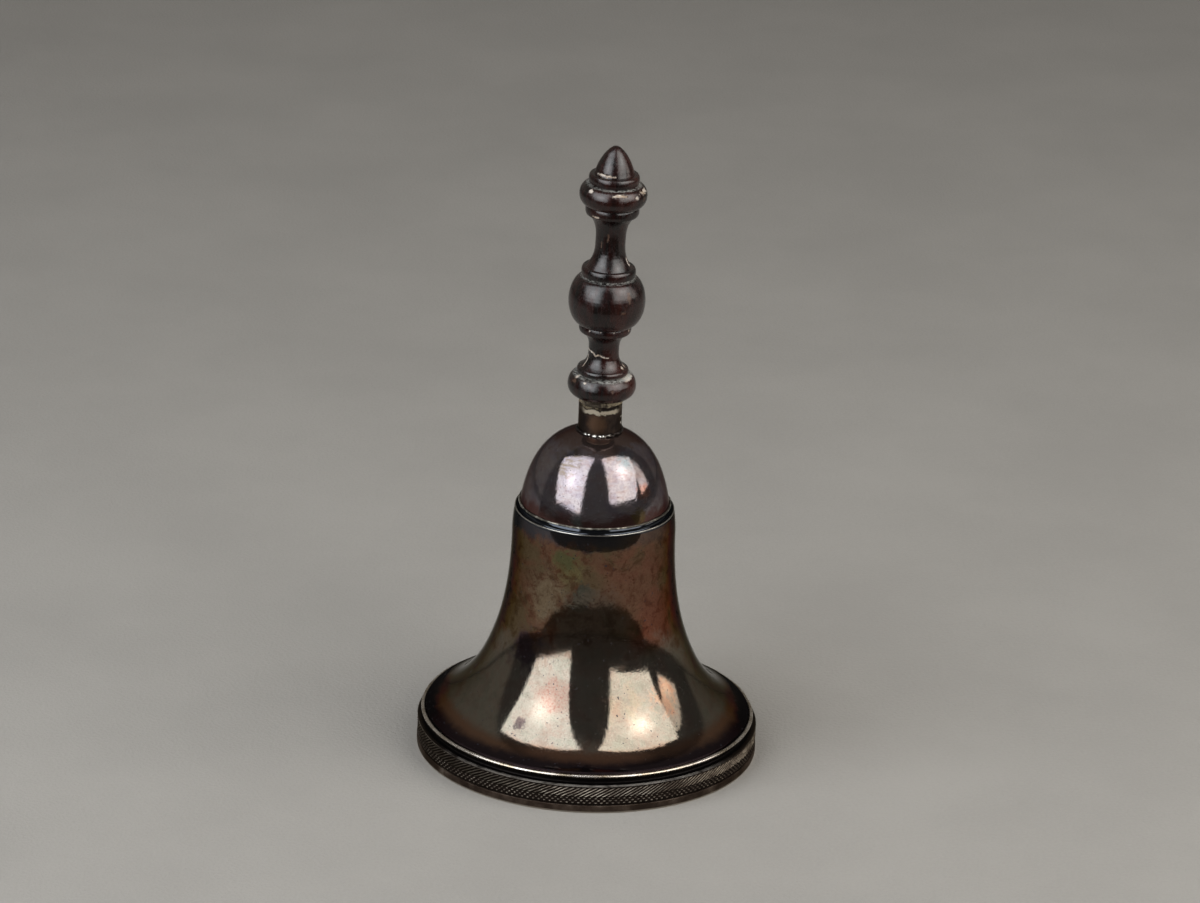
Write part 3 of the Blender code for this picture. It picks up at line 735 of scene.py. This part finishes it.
def dented(bearing, r, z):
    """The tube's slightly uneven mouth and its seam."""
    mouth = ramp_up(z, FERRULE_TOP - 0.5, FERRULE_TOP)
    edge = 0.09 * np.sin(bearing * 5 + 0.6) + 0.06 * np.sin(bearing * 13)
    outer = r > FERRULE_BORE + 0.2
    seam = np.exp(-(((bearing - math.radians(72)) * FERRULE_R / 0.12) ** 2))
    return r - outer * seam * 0.09, z + edge * mouth


ferrule_heights = np.linspace(FERRULE_LOW, FERRULE_TOP - 0.06, 40)
ferrule_section = [(FERRULE_R, z) for z in ferrule_heights]
ferrule_section += [(FERRULE_R - 0.06, FERRULE_TOP), (FERRULE_BORE + 0.05, FERRULE_TOP)]
ferrule_section += [(FERRULE_BORE, FERRULE_TOP - 0.06), (FERRULE_BORE, FERRULE_LOW)]
ferrule = turned("ferrule_piece", ferrule_section, 240, dented)
ferrule.location.x = FERRULE_X * MM
ferrule_finish, on_ferrule = finish("ferrule_finish", Specular_Tint=DULL_TINT)
fz = on_ferrule.axis("Z")
scrape = on_ferrule.stretched(1, 1, 0.7).grain(1.1, 5, 0.7)
ferrule_blots = on_ferrule.grain(3, 4)
ferrule_grit = on_ferrule.grain(0.28, 3)
ferrule_wave = (scrape - 0.5) * 1.9 + (ferrule_grit - 0.5) * 0.8
band = (fz + ferrule_wave).step(68.85, 69.1) * (fz + ferrule_wave * 0.8).step(69.85, 69.65)
fx, fy = on_ferrule.axis("X"), on_ferrule.axis("Y")
front = (fy + (fx - 0.3) * (fx - 0.3) * 0.06 + ferrule_wave).step(-1.2, -2.6)
band = band * (0.12 + 0.88 * front)
bronze = (on_ferrule.away(-0.6, -4.1, 67.2) + ferrule_wave).step(2.6, 0.8)
black = ferrule_blots.step(0.4, 0.7).mix((0.022, 0.017, 0.016), (0.065, 0.045, 0.036))
dark = (bronze * 0.75).mix(black, (0.15, 0.085, 0.052))
upper_edge = (fz + ferrule_wave * 0.7).step(69.95, 70.15) * ferrule_blots.step(0.42, 0.55)
seam_noise = fz.node("TexNoise", {"noise_dimensions": "1D"}, {"W": fz, "Scale": 1.6, "Detail": 1})
seam_near = (fx - 3.9).step(-0.16, -0.02) * fy.step(-0.75, -1.05)
lit = (seam_noise.step(0.56, 0.62) * seam_near).mix(band.mix(dark, (0.44, 0.385, 0.3)), (0.7, 0.68, 0.62))
drive(
    ferrule_finish, scrape * 0.6 + ferrule_grit * 0.4, 0.08,
    Base_Color=(upper_edge * 0.7).mix(lit, (0.36, 0.3, 0.2)),
    Roughness=0.26 + scrape * 0.25 + band * 0.12,
    Metallic=0.88 - band * 0.25,
)
fit(ferrule, ferrule_finish, "bell", "ferrule_plate", "ferrule")

FOOT_SOLDER_R, FOOT_SOLDER_Z = 4.22, 64.72
foot_solder = turned(
    "ferrule_solder_piece", wire_section(FOOT_SOLDER_R, FOOT_SOLDER_Z, 0.25), 240,
    lumpy(FOOT_SOLDER_R, FOOT_SOLDER_Z, 0.7, 0.7, 2),
)
foot_solder.location.x = FERRULE_X * MM
bits_finish, on_bits = finish("broken_solder_finish", Metallic=0.9)
bits_front = (on_bits.axis("Y") + 0.1 * on_bits.axis("X")).step(-3.4, -3.9)
bits = on_bits.grain(0.55, 3).step(0.5, 0.56) * bits_front
bits_grit = on_bits.grain(0.3, 3)
drive(
    bits_finish, bits_grit, 0.05,
    Base_Color=bits.mix((0.022, 0.017, 0.015), (0.68, 0.67, 0.62)),
    Roughness=0.3 + bits_grit * 0.2,
)
fit(foot_solder, bits_finish, "bell", "solder", "ferrule_solder")


# Cement: cream plaster that holds the tenon in the ferrule. It was pressed out when the
# handle was set, and stands as a rough crust between the ferrule's mouth and the wood.

CRUST_IN, CRUST_OUT = 3, 4.12
CRUST_LOW, CRUST_TOP = 69.9, 71.62


def crusted(bearing, r, z):
    """Crumbles the crust's outer face."""
    places = on_bearing(bearing, r, z)
    rough = 0.16 * lumps(places, 0.9, 3) + 0.1 * lumps(places, 0.3, 4)
    outer = r > CRUST_IN + 0.4
    return r + outer * (rough - 0.05), z


crust_heights = np.linspace(CRUST_LOW, CRUST_TOP, 22)
crust_section = [(CRUST_OUT - 0.35 * (z < 70.35), z) for z in crust_heights]
crust_section += [(CRUST_IN, CRUST_TOP), (CRUST_IN, CRUST_LOW)]
crust = turned("cement_piece", crust_section, 300, crusted, sharp=70)
crust.location.x = FERRULE_X * MM
cement_finish, on_cement = finish("cement_finish", Specular_IOR_Level=0.2)
cement_blots = on_cement.grain(1.3, 5, 0.7)
cement_grit = on_cement.grain(0.22, 3, 0.8)
# Painted shade: the crust is painted darker at its front left, under the overhang of the handle's lower
# bulb.
crust_painted_shade = (on_cement.axis("X") + (cement_blots - 0.5) * 5).step(1.6, -0.2)
crust_painted_shade = crust_painted_shade * on_cement.axis("Y").step(-1, -3)
cement_tone = cement_blots.step(0.4, 0.6).mix((0.06, 0.043, 0.028), (0.42, 0.35, 0.24))
cement_tone = (crust_painted_shade * 0.8).mix(cement_tone, (0.03, 0.022, 0.018))
drive(
    cement_finish, cement_grit, 0.12,
    Base_Color=cement_grit.step(0.5, 0.72).mix(cement_tone, (0.1, 0.07, 0.045)),
    Roughness=0.8 + cement_grit * 0.2,
)
fit(crust, cement_finish, "bell", "cement", "setting_cement")


# Handle: turned in one piece from dark rosewood and French polished. Its edges are chipped to
# pale ground, the lower neck was broken and glued, and plaster dust sits in its grooves. It
# leans a little, as it was set back into the ferrule.

HANDLE_AT = (0.4, 0, 70.4045)
HANDLE_LEAN = 1.3
SEAT = 1.1
TENON_R, TENON_LOW = 2.5, -3.5
# Each step going up: height, lower edge radius, middle radius, upper edge radius, form
HANDLE_STEPS = (
    (4.5, 4.4, 6.45, 5, "bead"),  # lower bulb
    (1.3, 4.6, 4.87, 4.5, "bead"),  # its collar
    (7, 4.4, 2.86, 4.3, "neck"),  # lower neck
    (1.6, 4.5, 4.95, 4.75, "bead"),  # collar under the ball
    (9.4, 4.9, 7.2, 4.95, "ball"),  # ball
    (2, 4.9, 5.12, 4.6, "bead"),  # collar on the ball
    (10.2, 4.3, 2.82, 4.4, "neck"),  # upper neck
    (1.9, 4.6, 5.05, 4.8, "bead"),  # collar under the upper bulb
    (4.2, 4.8, 6.35, 4.7, "bead"),  # upper bulb
    (1.9, 4.4, 4.75, 4.3, "bead"),  # collar on it
)
FORMS = {"bead": (2, 2), "ball": (2, 1.7), "neck": (3, 1)}
ROW = 0.13


def swell(height, lower, middle, upper, form, start):
    """Points up one turned step of the handle."""
    flat, full = FORMS[form]
    steps = max(12, round(height * 1.25 / ROW))
    place = -np.cos(np.pi * np.arange(steps + 1) / steps)
    edge = lower + (upper - lower) * (place + 1) / 2
    radius = edge + (middle - edge) * (1 - np.abs(place) ** flat) ** (1 / full)
    return np.stack((radius, start + height * (place + 1) / 2), -1)


handle_rows = [(0, TENON_LOW), (TENON_R, TENON_LOW), (TENON_R, SEAT)]
height = SEAT
for step_h, lower, middle, upper, form in HANDLE_STEPS:
    handle_rows += [*swell(step_h, lower, middle, upper, form, height)]
    height += step_h
finial = bezier((3.62, 0.45), (3.2, 2.1), (2.2, 4.05), (0.8, 5.1), 34)
tip = bezier((0.8, 5.1), (0.55, 5.28), (0.3, 5.36), (0, 5.36), 8)
handle_rows += [(r, height + z) for r, z in ((3.75, 0.02), (3.72, 0.2), *finial, *tip[1:])]

# Damage: bearing, height over the ferrule's mouth, half length round, half height, depth
CHIPS = (
    (-29, 45.55, 2, 0.2, 0.12), (-46, 42.62, 0.42, 0.3, 0.15), (12, 42.58, 1.25, 0.24, 0.18),
    (72, 42.45, 1.45, 0.36, 0.22), (46, 42, 0.34, 0.26, 0.12), (-37, 37.65, 0.75, 0.16, 0.1),
    (79, 28.1, 0.3, 0.75, 0.16), (-61, 5.45, 0.42, 0.24, 0.14), (-33, 5.05, 0.35, 0.14, 0.08),
    (66, 7.25, 0.34, 0.28, 0.1), (85, 7.3, 0.3, 0.26, 0.1), (60, 5.5, 0.9, 0.3, 0.03),
    (76, 5.65, 0.9, 0.34, 0.03), (-36, 15.15, 0.15, 0.12, 0.05), (-10, 15.3, 0.12, 0.1, 0.05),
    (20, 15.25, 0.12, 0.1, 0.05), (65, 15, 0.22, 0.12, 0.05),
    (160, 42.3, 0.9, 0.3, 0.15), (-130, 5.4, 0.8, 0.25, 0.12), (140, 25.9, 0.5, 0.2, 0.08),
)
SCUFFS = (
    (65, 41.3, 0.38, 0.34, 0.05), (-10, 33.3, 0.22, 0.8, 0.03), (-36, 31.7, 0.14, 0.6, 0.03),
    (27, 20, 0.55, 0.24, 0.05), (-59, 4.75, 0.5, 0.35, 0.06), (19, 4, 0.18, 0.22, 0.04),
    (36, 22.6, 0.4, 0.9, 0.01), (120, 19.5, 0.8, 0.3, 0.04), (-150, 22, 0.6, 0.4, 0.03),
)
# The glued break's lines: bearing and height over the ferrule's mouth
CRACK = (
    (-100, 10.6), (-69, 10.35), (-42, 10.2), (-31, 9.6), (-22, 9.95), (-12, 9.9), (2, 9.6), (19, 9.5),
)
BRANCH = ((-76, 9.4), (-72, 8.5), (-71, 7.6), (-68, 7.2))
CRACK_W, BRANCH_W = 0.1, 0.09
# Height over the ferrule's mouth, half width, amount, how much of it lies at the right
DUSTY_GROOVES = (
    (5.62, 0.2, 1, 0.7), (25.05, 0.16, 0.55, 0.2), (43.22, 0.09, 0.6, 0.3), (15.6, 0.06, 0.3, 0.3),
)


def patch_depth(patches, bearing, r, z, rag):
    """0 outside the patches and up to 1 inside, and how deep they are cut."""
    share, depth = np.zeros_like(r), np.zeros_like(r)
    for at, level, half_l, half_h, deep in patches:
        off = (bearing - math.radians(at) + math.pi) % math.tau - math.pi
        reach = np.sqrt((off * r / half_l) ** 2 + ((z - level) / half_h) ** 2)
        here = ramp_up(reach + 0.55 * rag, 1.15, 0.8)
        share = np.maximum(share, here)
        depth = np.maximum(depth, here * deep)
    return share, depth


def along(line, bearing, r, z, width, rag):
    """1 on a line of (bearing, height) points and 0 beside it."""
    share = np.zeros_like(r)
    for (b0, z0), (b1, z1) in zip(line, line[1:]):
        start = np.stack((math.radians(b0) * r, np.full_like(r, z0)), -1)
        end = np.stack((math.radians(b1) * r, np.full_like(r, z1)), -1)
        here = np.stack((bearing * r, z), -1)
        run = end - start
        t = np.clip(((here - start) * run).sum(-1) / (run * run).sum(-1), 0, 1)[..., None]
        away = np.linalg.norm(here - start - run * t, axis=-1)
        share = np.maximum(share, ramp_up(away, width * (1.5 + rag), width * (0.6 + 0.5 * rag)))
    return share


def damage(bearing, r, z):
    """Shares of bare ground, scuffed wood and dust on the handle, and the depth cut away."""
    places = on_bearing(bearing, r, z)
    rag = lumps(places, 0.45, 5)
    rag_fine = lumps(places, 0.2, 6)
    bare, cut = patch_depth(CHIPS, bearing, r, z, 0.7 * rag + 0.4 * rag_fine)
    scuffed, rubbed = patch_depth(SCUFFS, bearing, r, z, 0.9 * rag + 0.8 * rag_fine)
    crack = along(CRACK, bearing, r, z, CRACK_W, 0.8 * rag)
    crack = np.maximum(crack, along(BRANCH, bearing, r, z, BRANCH_W, 0.6 * rag))
    dust = np.zeros_like(r)
    for level, half, amount, lopsided in DUSTY_GROOVES:
        heavy = 1 - lopsided + lopsided * np.maximum(0, np.cos(bearing - math.radians(68))) ** 2
        broken = 0.62 + 1 * rag + 0.9 * rag_fine
        layer = ramp_up(np.abs(z - level) + 0.1 * rag, half * 2, half * 0.4)
        dust = np.maximum(dust, np.clip(amount * heavy * broken * 1.4, 0, 1) * layer)
    depth = np.maximum(np.maximum(cut, rubbed), -0.06 * crack)
    return np.maximum(bare, crack), scuffed, dust, depth


def chipped(bearing, r, z):
    depth = damage(bearing, r, z)[3]
    tool = 0.012 * np.sin(z * 9) * (r > 2.6)
    uneven = 0.02 * lumps(on_bearing(bearing, r, z), 6, 7)
    return np.where(r > 0, r - depth + tool * 0.3 + uneven * (r > 2.6), 0), z


handle = turned("handle_piece", handle_rows, 256, chipped, ring=False, sharp=38)
handle.location = Vector(HANDLE_AT) * MM
handle.rotation_euler.y = math.radians(HANDLE_LEAN)
skin = np.array([v.co for v in handle.data.vertices]) / MM
skin_bearing, skin_r = np.arctan2(skin[:, 0], -skin[:, 1]), np.hypot(skin[:, 0], skin[:, 1])
shares = damage(skin_bearing, skin_r, skin[:, 2])
SHARE_NAMES = ("bare", "scuffed", "dust")
for share_name, share in zip(SHARE_NAMES, shares):
    layer = handle.data.attributes.new(share_name, "FLOAT", "POINT")
    layer.data.foreach_set("value", share.astype(np.float32))

wood_finish, on_wood = finish("rosewood_finish", Specular_IOR_Level=0.5)
bare_here, scuffed_here, dust_here = (
    on_wood.node("Attribute", {"attribute_name": name}, out="Fac") for name in SHARE_NAMES
)
streaks = on_wood.stretched(1, 1, 0.06).grain(0.9, 5, 0.6)
figure = on_wood.stretched(1, 1, 0.22).grain(4.5, 4)
pores = on_wood.stretched(1, 1, 0.09).grain(0.22, 2)
rub = on_wood.grain(1.5, 6, 0.72)
smudge = on_wood.stretched(1, 1, 0.5).grain(0.6, 4, 0.7)
wood = streaks.step(0.38, 0.68).mix((0.0025, 0.0012, 0.0012), (0.016, 0.0032, 0.0026))
red_side = (on_wood.axis("X") + (rub - 0.5) * 4).step(0, 3)
wood = (figure.step(0.42, 0.72) * (0.35 + 0.65 * red_side)).mix(wood, (0.042, 0.0085, 0.0055))
wood = (pores.step(0.6, 0.7) * 0.7).mix(wood, (0.0015, 0.001, 0.001))
wood = (scuffed_here * 0.8).mix(wood, (0.085, 0.042, 0.024))
pale = rub.step(0.4, 0.6).mix((0.4, 0.29, 0.2), (0.72, 0.64, 0.56))
wood = bare_here.mix(wood, pale)
wood = (dust_here * (0.45 + 0.8 * rub)).mix(wood, (0.58, 0.585, 0.55))
unpolished = bare_here + dust_here + scuffed_here * 0.4
drive(
    wood_finish, rub * 0.5 + smudge * 0.5, 0.035,
    Base_Color=wood,
    Roughness=0.17 + smudge.step(0.4, 0.75) * 0.18 + rub * 0.06 + unpolished * 0.4,
)
fit(handle, wood_finish, "bell", "rosewood", "handle")


# Hanger: an iron screw comes up through the crown and the ferrule into the handle, and pulls
# them together over a thick washer. Its slotted head leaves room for the yoke to swivel.

THREAD_R, THREAD_ROOT, THREAD_PITCH = 1.1, 0.82, 1.3
THREAD_LOW, THREAD_END, THREAD_TIP = 65, 74.3, 75.5
SHOULDER_R, SHOULDER_TOP = 1.6, 62.1
HEAD_R, HEAD_TOP, HEAD_LOW = 2.6, 60.7, 59.2
SLOT_W, SLOT_DEPTH = 0.6, 0.7

iron_finish, on_iron = finish("iron_finish", Metallic=0.85)
iron_blots = on_iron.grain(1.8, 5, 0.65)
iron_grit = on_iron.grain(0.3, 3)
drive(
    iron_finish, iron_grit, 0.05,
    Base_Color=iron_blots.step(0.45, 0.65).mix((0.2, 0.185, 0.17), (0.13, 0.062, 0.032)),
    Roughness=0.4 + iron_blots * 0.3,
)


def blank(name, work):
    """A hidden tool that a Boolean cuts or joins with, from a finished bmesh."""
    mesh = bpy.data.meshes.new(name)
    work.to_mesh(mesh)
    work.free()
    tool = add_object(name, mesh)
    tool.hide_render = True
    return tool


def machined(obj, steps, sharp=35):
    """Applies Boolean steps (operation, tool) to a piece and takes the tools away."""
    for operation, tool in steps:
        boolean = obj.modifiers.new(tool.name, "BOOLEAN")
        boolean.operation = operation
        boolean.object = tool
    bpy.context.view_layer.update()
    evaluated = obj.evaluated_get(bpy.context.evaluated_depsgraph_get())
    result = bpy.data.meshes.new_from_object(evaluated)
    obj.modifiers.clear()
    obj.data = result
    for _, tool in steps:
        bpy.data.objects.remove(tool)
    obj.data.shade_smooth()
    obj.data.set_sharp_from_angle(angle=math.radians(sharp))


def block(name, size, centre):
    work = bmesh.new()
    scale = Matrix.Diagonal((*[s * MM for s in size], 1))
    place = Matrix.Translation(Vector(centre) * MM) @ scale
    bmesh.ops.create_cube(work, size=1, matrix=place)
    return blank(name, work)


def rod_tool(name, radius, length, centre, axis="Z"):
    work = bmesh.new()
    turn = Matrix() if axis == "Z" else Matrix.Rotation(math.pi / 2, 4, "X")
    place = Matrix.Translation(Vector(centre) * MM) @ turn
    sizes = {"radius1": radius * MM, "radius2": radius * MM, "depth": length * MM}
    bmesh.ops.create_cone(work, cap_ends=True, segments=64, matrix=place, **sizes)
    return blank(name, work)


screw_rows = [(0, HEAD_LOW), (1.3, HEAD_LOW), (1.95, HEAD_LOW + 0.12), (2.42, HEAD_LOW + 0.38)]
screw_rows += [(HEAD_R, HEAD_LOW + 0.7), (HEAD_R, HEAD_TOP - 0.1), (HEAD_R - 0.1, HEAD_TOP)]
screw_rows += [(SHOULDER_R, HEAD_TOP), (SHOULDER_R, SHOULDER_TOP)]
screw_rows += [(THREAD_R, SHOULDER_TOP), (THREAD_R, THREAD_LOW)]
crests = int((THREAD_END - THREAD_LOW) / THREAD_PITCH)
for turn in range(crests):
    crest = THREAD_LOW + (turn + 1) * THREAD_PITCH
    screw_rows += [(THREAD_ROOT, crest - 0.7 * THREAD_PITCH), (THREAD_R, crest - 0.1), (THREAD_R, crest)]
screw_rows += [(THREAD_ROOT, THREAD_END), (0, THREAD_TIP)]
screw = turned("hanger_screw_piece", screw_rows, 96, ring=False)
driver_slot = block("driver_slot", (8, SLOT_W, 2 * SLOT_DEPTH), (0, 0, HEAD_LOW))
machined(screw, [("DIFFERENCE", driver_slot)])
fit(screw, iron_finish, "bell", "iron", "hanger_screw")

WASHER_BORE, WASHER_R = 1.4, 4
WASHER_LOW, WASHER_TOP = 62.4, 63.2
washer_section = filleted((
    (WASHER_BORE, WASHER_LOW, 0.08), (WASHER_R, WASHER_LOW, 0.15),
    (WASHER_R, WASHER_TOP, 0.15), (WASHER_BORE, WASHER_TOP, 0.08),
))
washer = turned("crown_washer_piece", washer_section, 128)
fit(washer, iron_finish, "bell", "iron", "crown_washer")


# Yoke: a stirrup bent from brass strap. It turns freely on the screw's shoulder, and its two
# legs carry the iron pin that the clapper hangs from.

STRAP_T, STRAP_HALF = 0.8, 2.2
LEG_Y, STRAP_BEND = 3.4, 1.1
PLATE_Z, PIN_Z = 61.4045, 55.2045
TONGUE = 1.9
PIN_HOLE_R = 0.86
STRAP_ROUND = 0.15

brass_finish, on_brass = finish("brass_finish", Metallic=0.9)
brass_blots = on_brass.grain(3, 5, 0.65)
brass_grit = on_brass.grain(0.4, 4)
brass_tone = brass_blots.step(0.38, 0.68).mix((0.17, 0.105, 0.045), (0.4, 0.28, 0.13))
drive(
    brass_finish, brass_grit, 0.04,
    Base_Color=brass_grit.step(0.62, 0.72).mix(brass_tone, (0.07, 0.05, 0.03)),
    Roughness=0.3 + brass_blots * 0.25,
)

# The strap's middle line, y, z and half width, from one leg's rounded end to the other's
leg_low = PIN_Z - TONGUE
strap_path = [
    (-LEG_Y, leg_low + TONGUE * (1 - math.cos(a)), STRAP_HALF * math.sin(a) + 0.02)
    for a in np.radians(np.linspace(4, 90, 14))
]
leg_heights = np.linspace(PIN_Z + 0.4, PLATE_Z - STRAP_BEND - 0.3, 6)
strap_path += [(-LEG_Y, z, STRAP_HALF) for z in leg_heights]
for a in np.radians(np.linspace(0, 90, 12)):
    y, z = -LEG_Y + STRAP_BEND * (1 - math.cos(a)), PLATE_Z - STRAP_BEND + STRAP_BEND * math.sin(a)
    strap_path.append((y, z, STRAP_HALF))
strap_path += [(-y, z, w) for y, z, w in reversed(strap_path)]
strap_points, strap_faces = [], []
path = np.array(strap_path)
tangent = np.gradient(path[:, :2], axis=0)
tangent /= np.linalg.norm(tangent, axis=1)[:, None]
for (y, z, half), (ty, tz) in zip(strap_path, tangent):
    inset = min(STRAP_ROUND, half * 0.9)
    for side, face in CORNERS:
        pair = [(half - inset, STRAP_T / 2), (half, STRAP_T / 2 - STRAP_ROUND)]
        if side * face > 0:
            pair.reverse()
        for w, t in pair:
            strap_points.append((side * w * MM, (y - face * t * tz) * MM, (z + face * t * ty) * MM))
LOOP = 8
for low_row in range(0, (len(strap_path) - 1) * LOOP, LOOP):
    for k in range(LOOP):
        after = (k + 1) % LOOP
        strap_faces.append((low_row + k, low_row + after, low_row + LOOP + after, low_row + LOOP + k))
last = (len(strap_path) - 1) * LOOP
strap_faces += [tuple(range(LOOP))[::-1], tuple(range(last, last + LOOP))]
yoke = add_object("yoke_piece", tidy_mesh("yoke_piece", strap_points, strap_faces))
machined(yoke, [
    ("DIFFERENCE", rod_tool("hub_hole", SHOULDER_R + 0.06, 4, (0, 0, PLATE_Z))),
    ("DIFFERENCE", rod_tool("pin_hole", PIN_HOLE_R, 14, (0, 0, PIN_Z), "Y")),
])
fit(yoke, brass_finish, "yoke", "brass", "clapper_yoke")

PIN_R, PIN_HEAD_R = 0.8, 1.3
pin_rows = [(0, -4.62), (0.7, -4.6), (1.15, -4.5), (PIN_HEAD_R, -4.3), (PIN_HEAD_R, -4.1), (PIN_R, -4.1)]
pin_rows += [(r, -z) for r, z in reversed(pin_rows)]
pin = turned("yoke_pin_piece", pin_rows, 64, ring=False)
pin.rotation_euler.x = math.pi / 2
pin.location.z = PIN_Z * MM
fit(pin, iron_finish, "yoke", "iron", "yoke_pin")


# Clapper: a brass rod with a cross barrel that swings on the pin. A cast ball is threaded on
# its lower end, between a collar and a washer, and the rod's end is peened over.

ROD_R, BARREL_R, BARREL_L = 0.9, 1.6, 5.4
BALL_R, BALL_Z, BALL_HOLE = 4.5, 14, 1.2
COLLAR_R, BALL_WASHER_R = 1.9, 2.3
pole = math.sqrt(BALL_R**2 - BALL_HOLE**2)
collar_low = BALL_Z + pole + 0.05
washer_top = BALL_Z - pole - 0.05
peen_top = washer_top - 0.65

arm_rows = [(0, -0.8), (0.6, -0.76), (1.15, -0.55), (1.45, -0.25), (1.5, -0.05), (1.4, 0), (ROD_R, 0)]
arm_rows = [(r, peen_top + z) for r, z in arm_rows]
collar_rows = [(ROD_R, 0), (COLLAR_R - 0.1, 0), (COLLAR_R, 0.1), (COLLAR_R, 0.55), (COLLAR_R - 0.25, 0.8)]
collar_rows += [(ROD_R + 0.15, 1), (ROD_R, 1.3)]
arm_rows += [(r, collar_low + z) for r, z in collar_rows]
arm_rows += [(ROD_R, PIN_Z), (0, PIN_Z)]
arm = turned("clapper_arm_piece", arm_rows, 64, ring=False)
machined(arm, [
    ("UNION", rod_tool("barrel", BARREL_R, BARREL_L, (0, 0, PIN_Z), "Y")),
    ("DIFFERENCE", rod_tool("barrel_hole", PIN_HOLE_R, 9, (0, 0, PIN_Z), "Y")),
])
fit(arm, brass_finish, "clapper", "brass", "clapper_arm")

start_angle = math.asin(BALL_HOLE / BALL_R)
ball_angles = np.linspace(start_angle, math.pi - start_angle, 60)
ball_section = [(BALL_R * math.sin(a), BALL_Z + BALL_R * math.cos(a)) for a in ball_angles]
ball_section += [(BALL_HOLE - 0.15, BALL_Z - pole + 0.1), (BALL_HOLE - 0.15, BALL_Z + pole - 0.1)]


def struck(bearing, r, z):
    """The flats that the ball's own blows have made round its middle."""
    flat = 0.12 * np.exp(-(((z - BALL_Z) / 0.9) ** 2)) * (0.5 + 0.5 * np.cos(bearing * 2 + math.pi))
    return r - flat * (r > 3), z


ball = turned("clapper_ball_piece", ball_section, 128, struck)
fit(ball, brass_finish, "clapper", "brass", "clapper_ball")

washer_low = washer_top - 0.6
ball_washer_section = filleted((
    (BALL_HOLE, washer_low, 0.05), (BALL_WASHER_R, washer_low, 0.1),
    (BALL_WASHER_R, washer_top, 0.1), (BALL_HOLE, washer_top, 0.05),
))
ball_washer = turned("ball_washer_piece", ball_washer_section, 96)
fit(ball_washer, iron_finish, "clapper", "iron", "ball_washer")


bpy.context.view_layer.update()
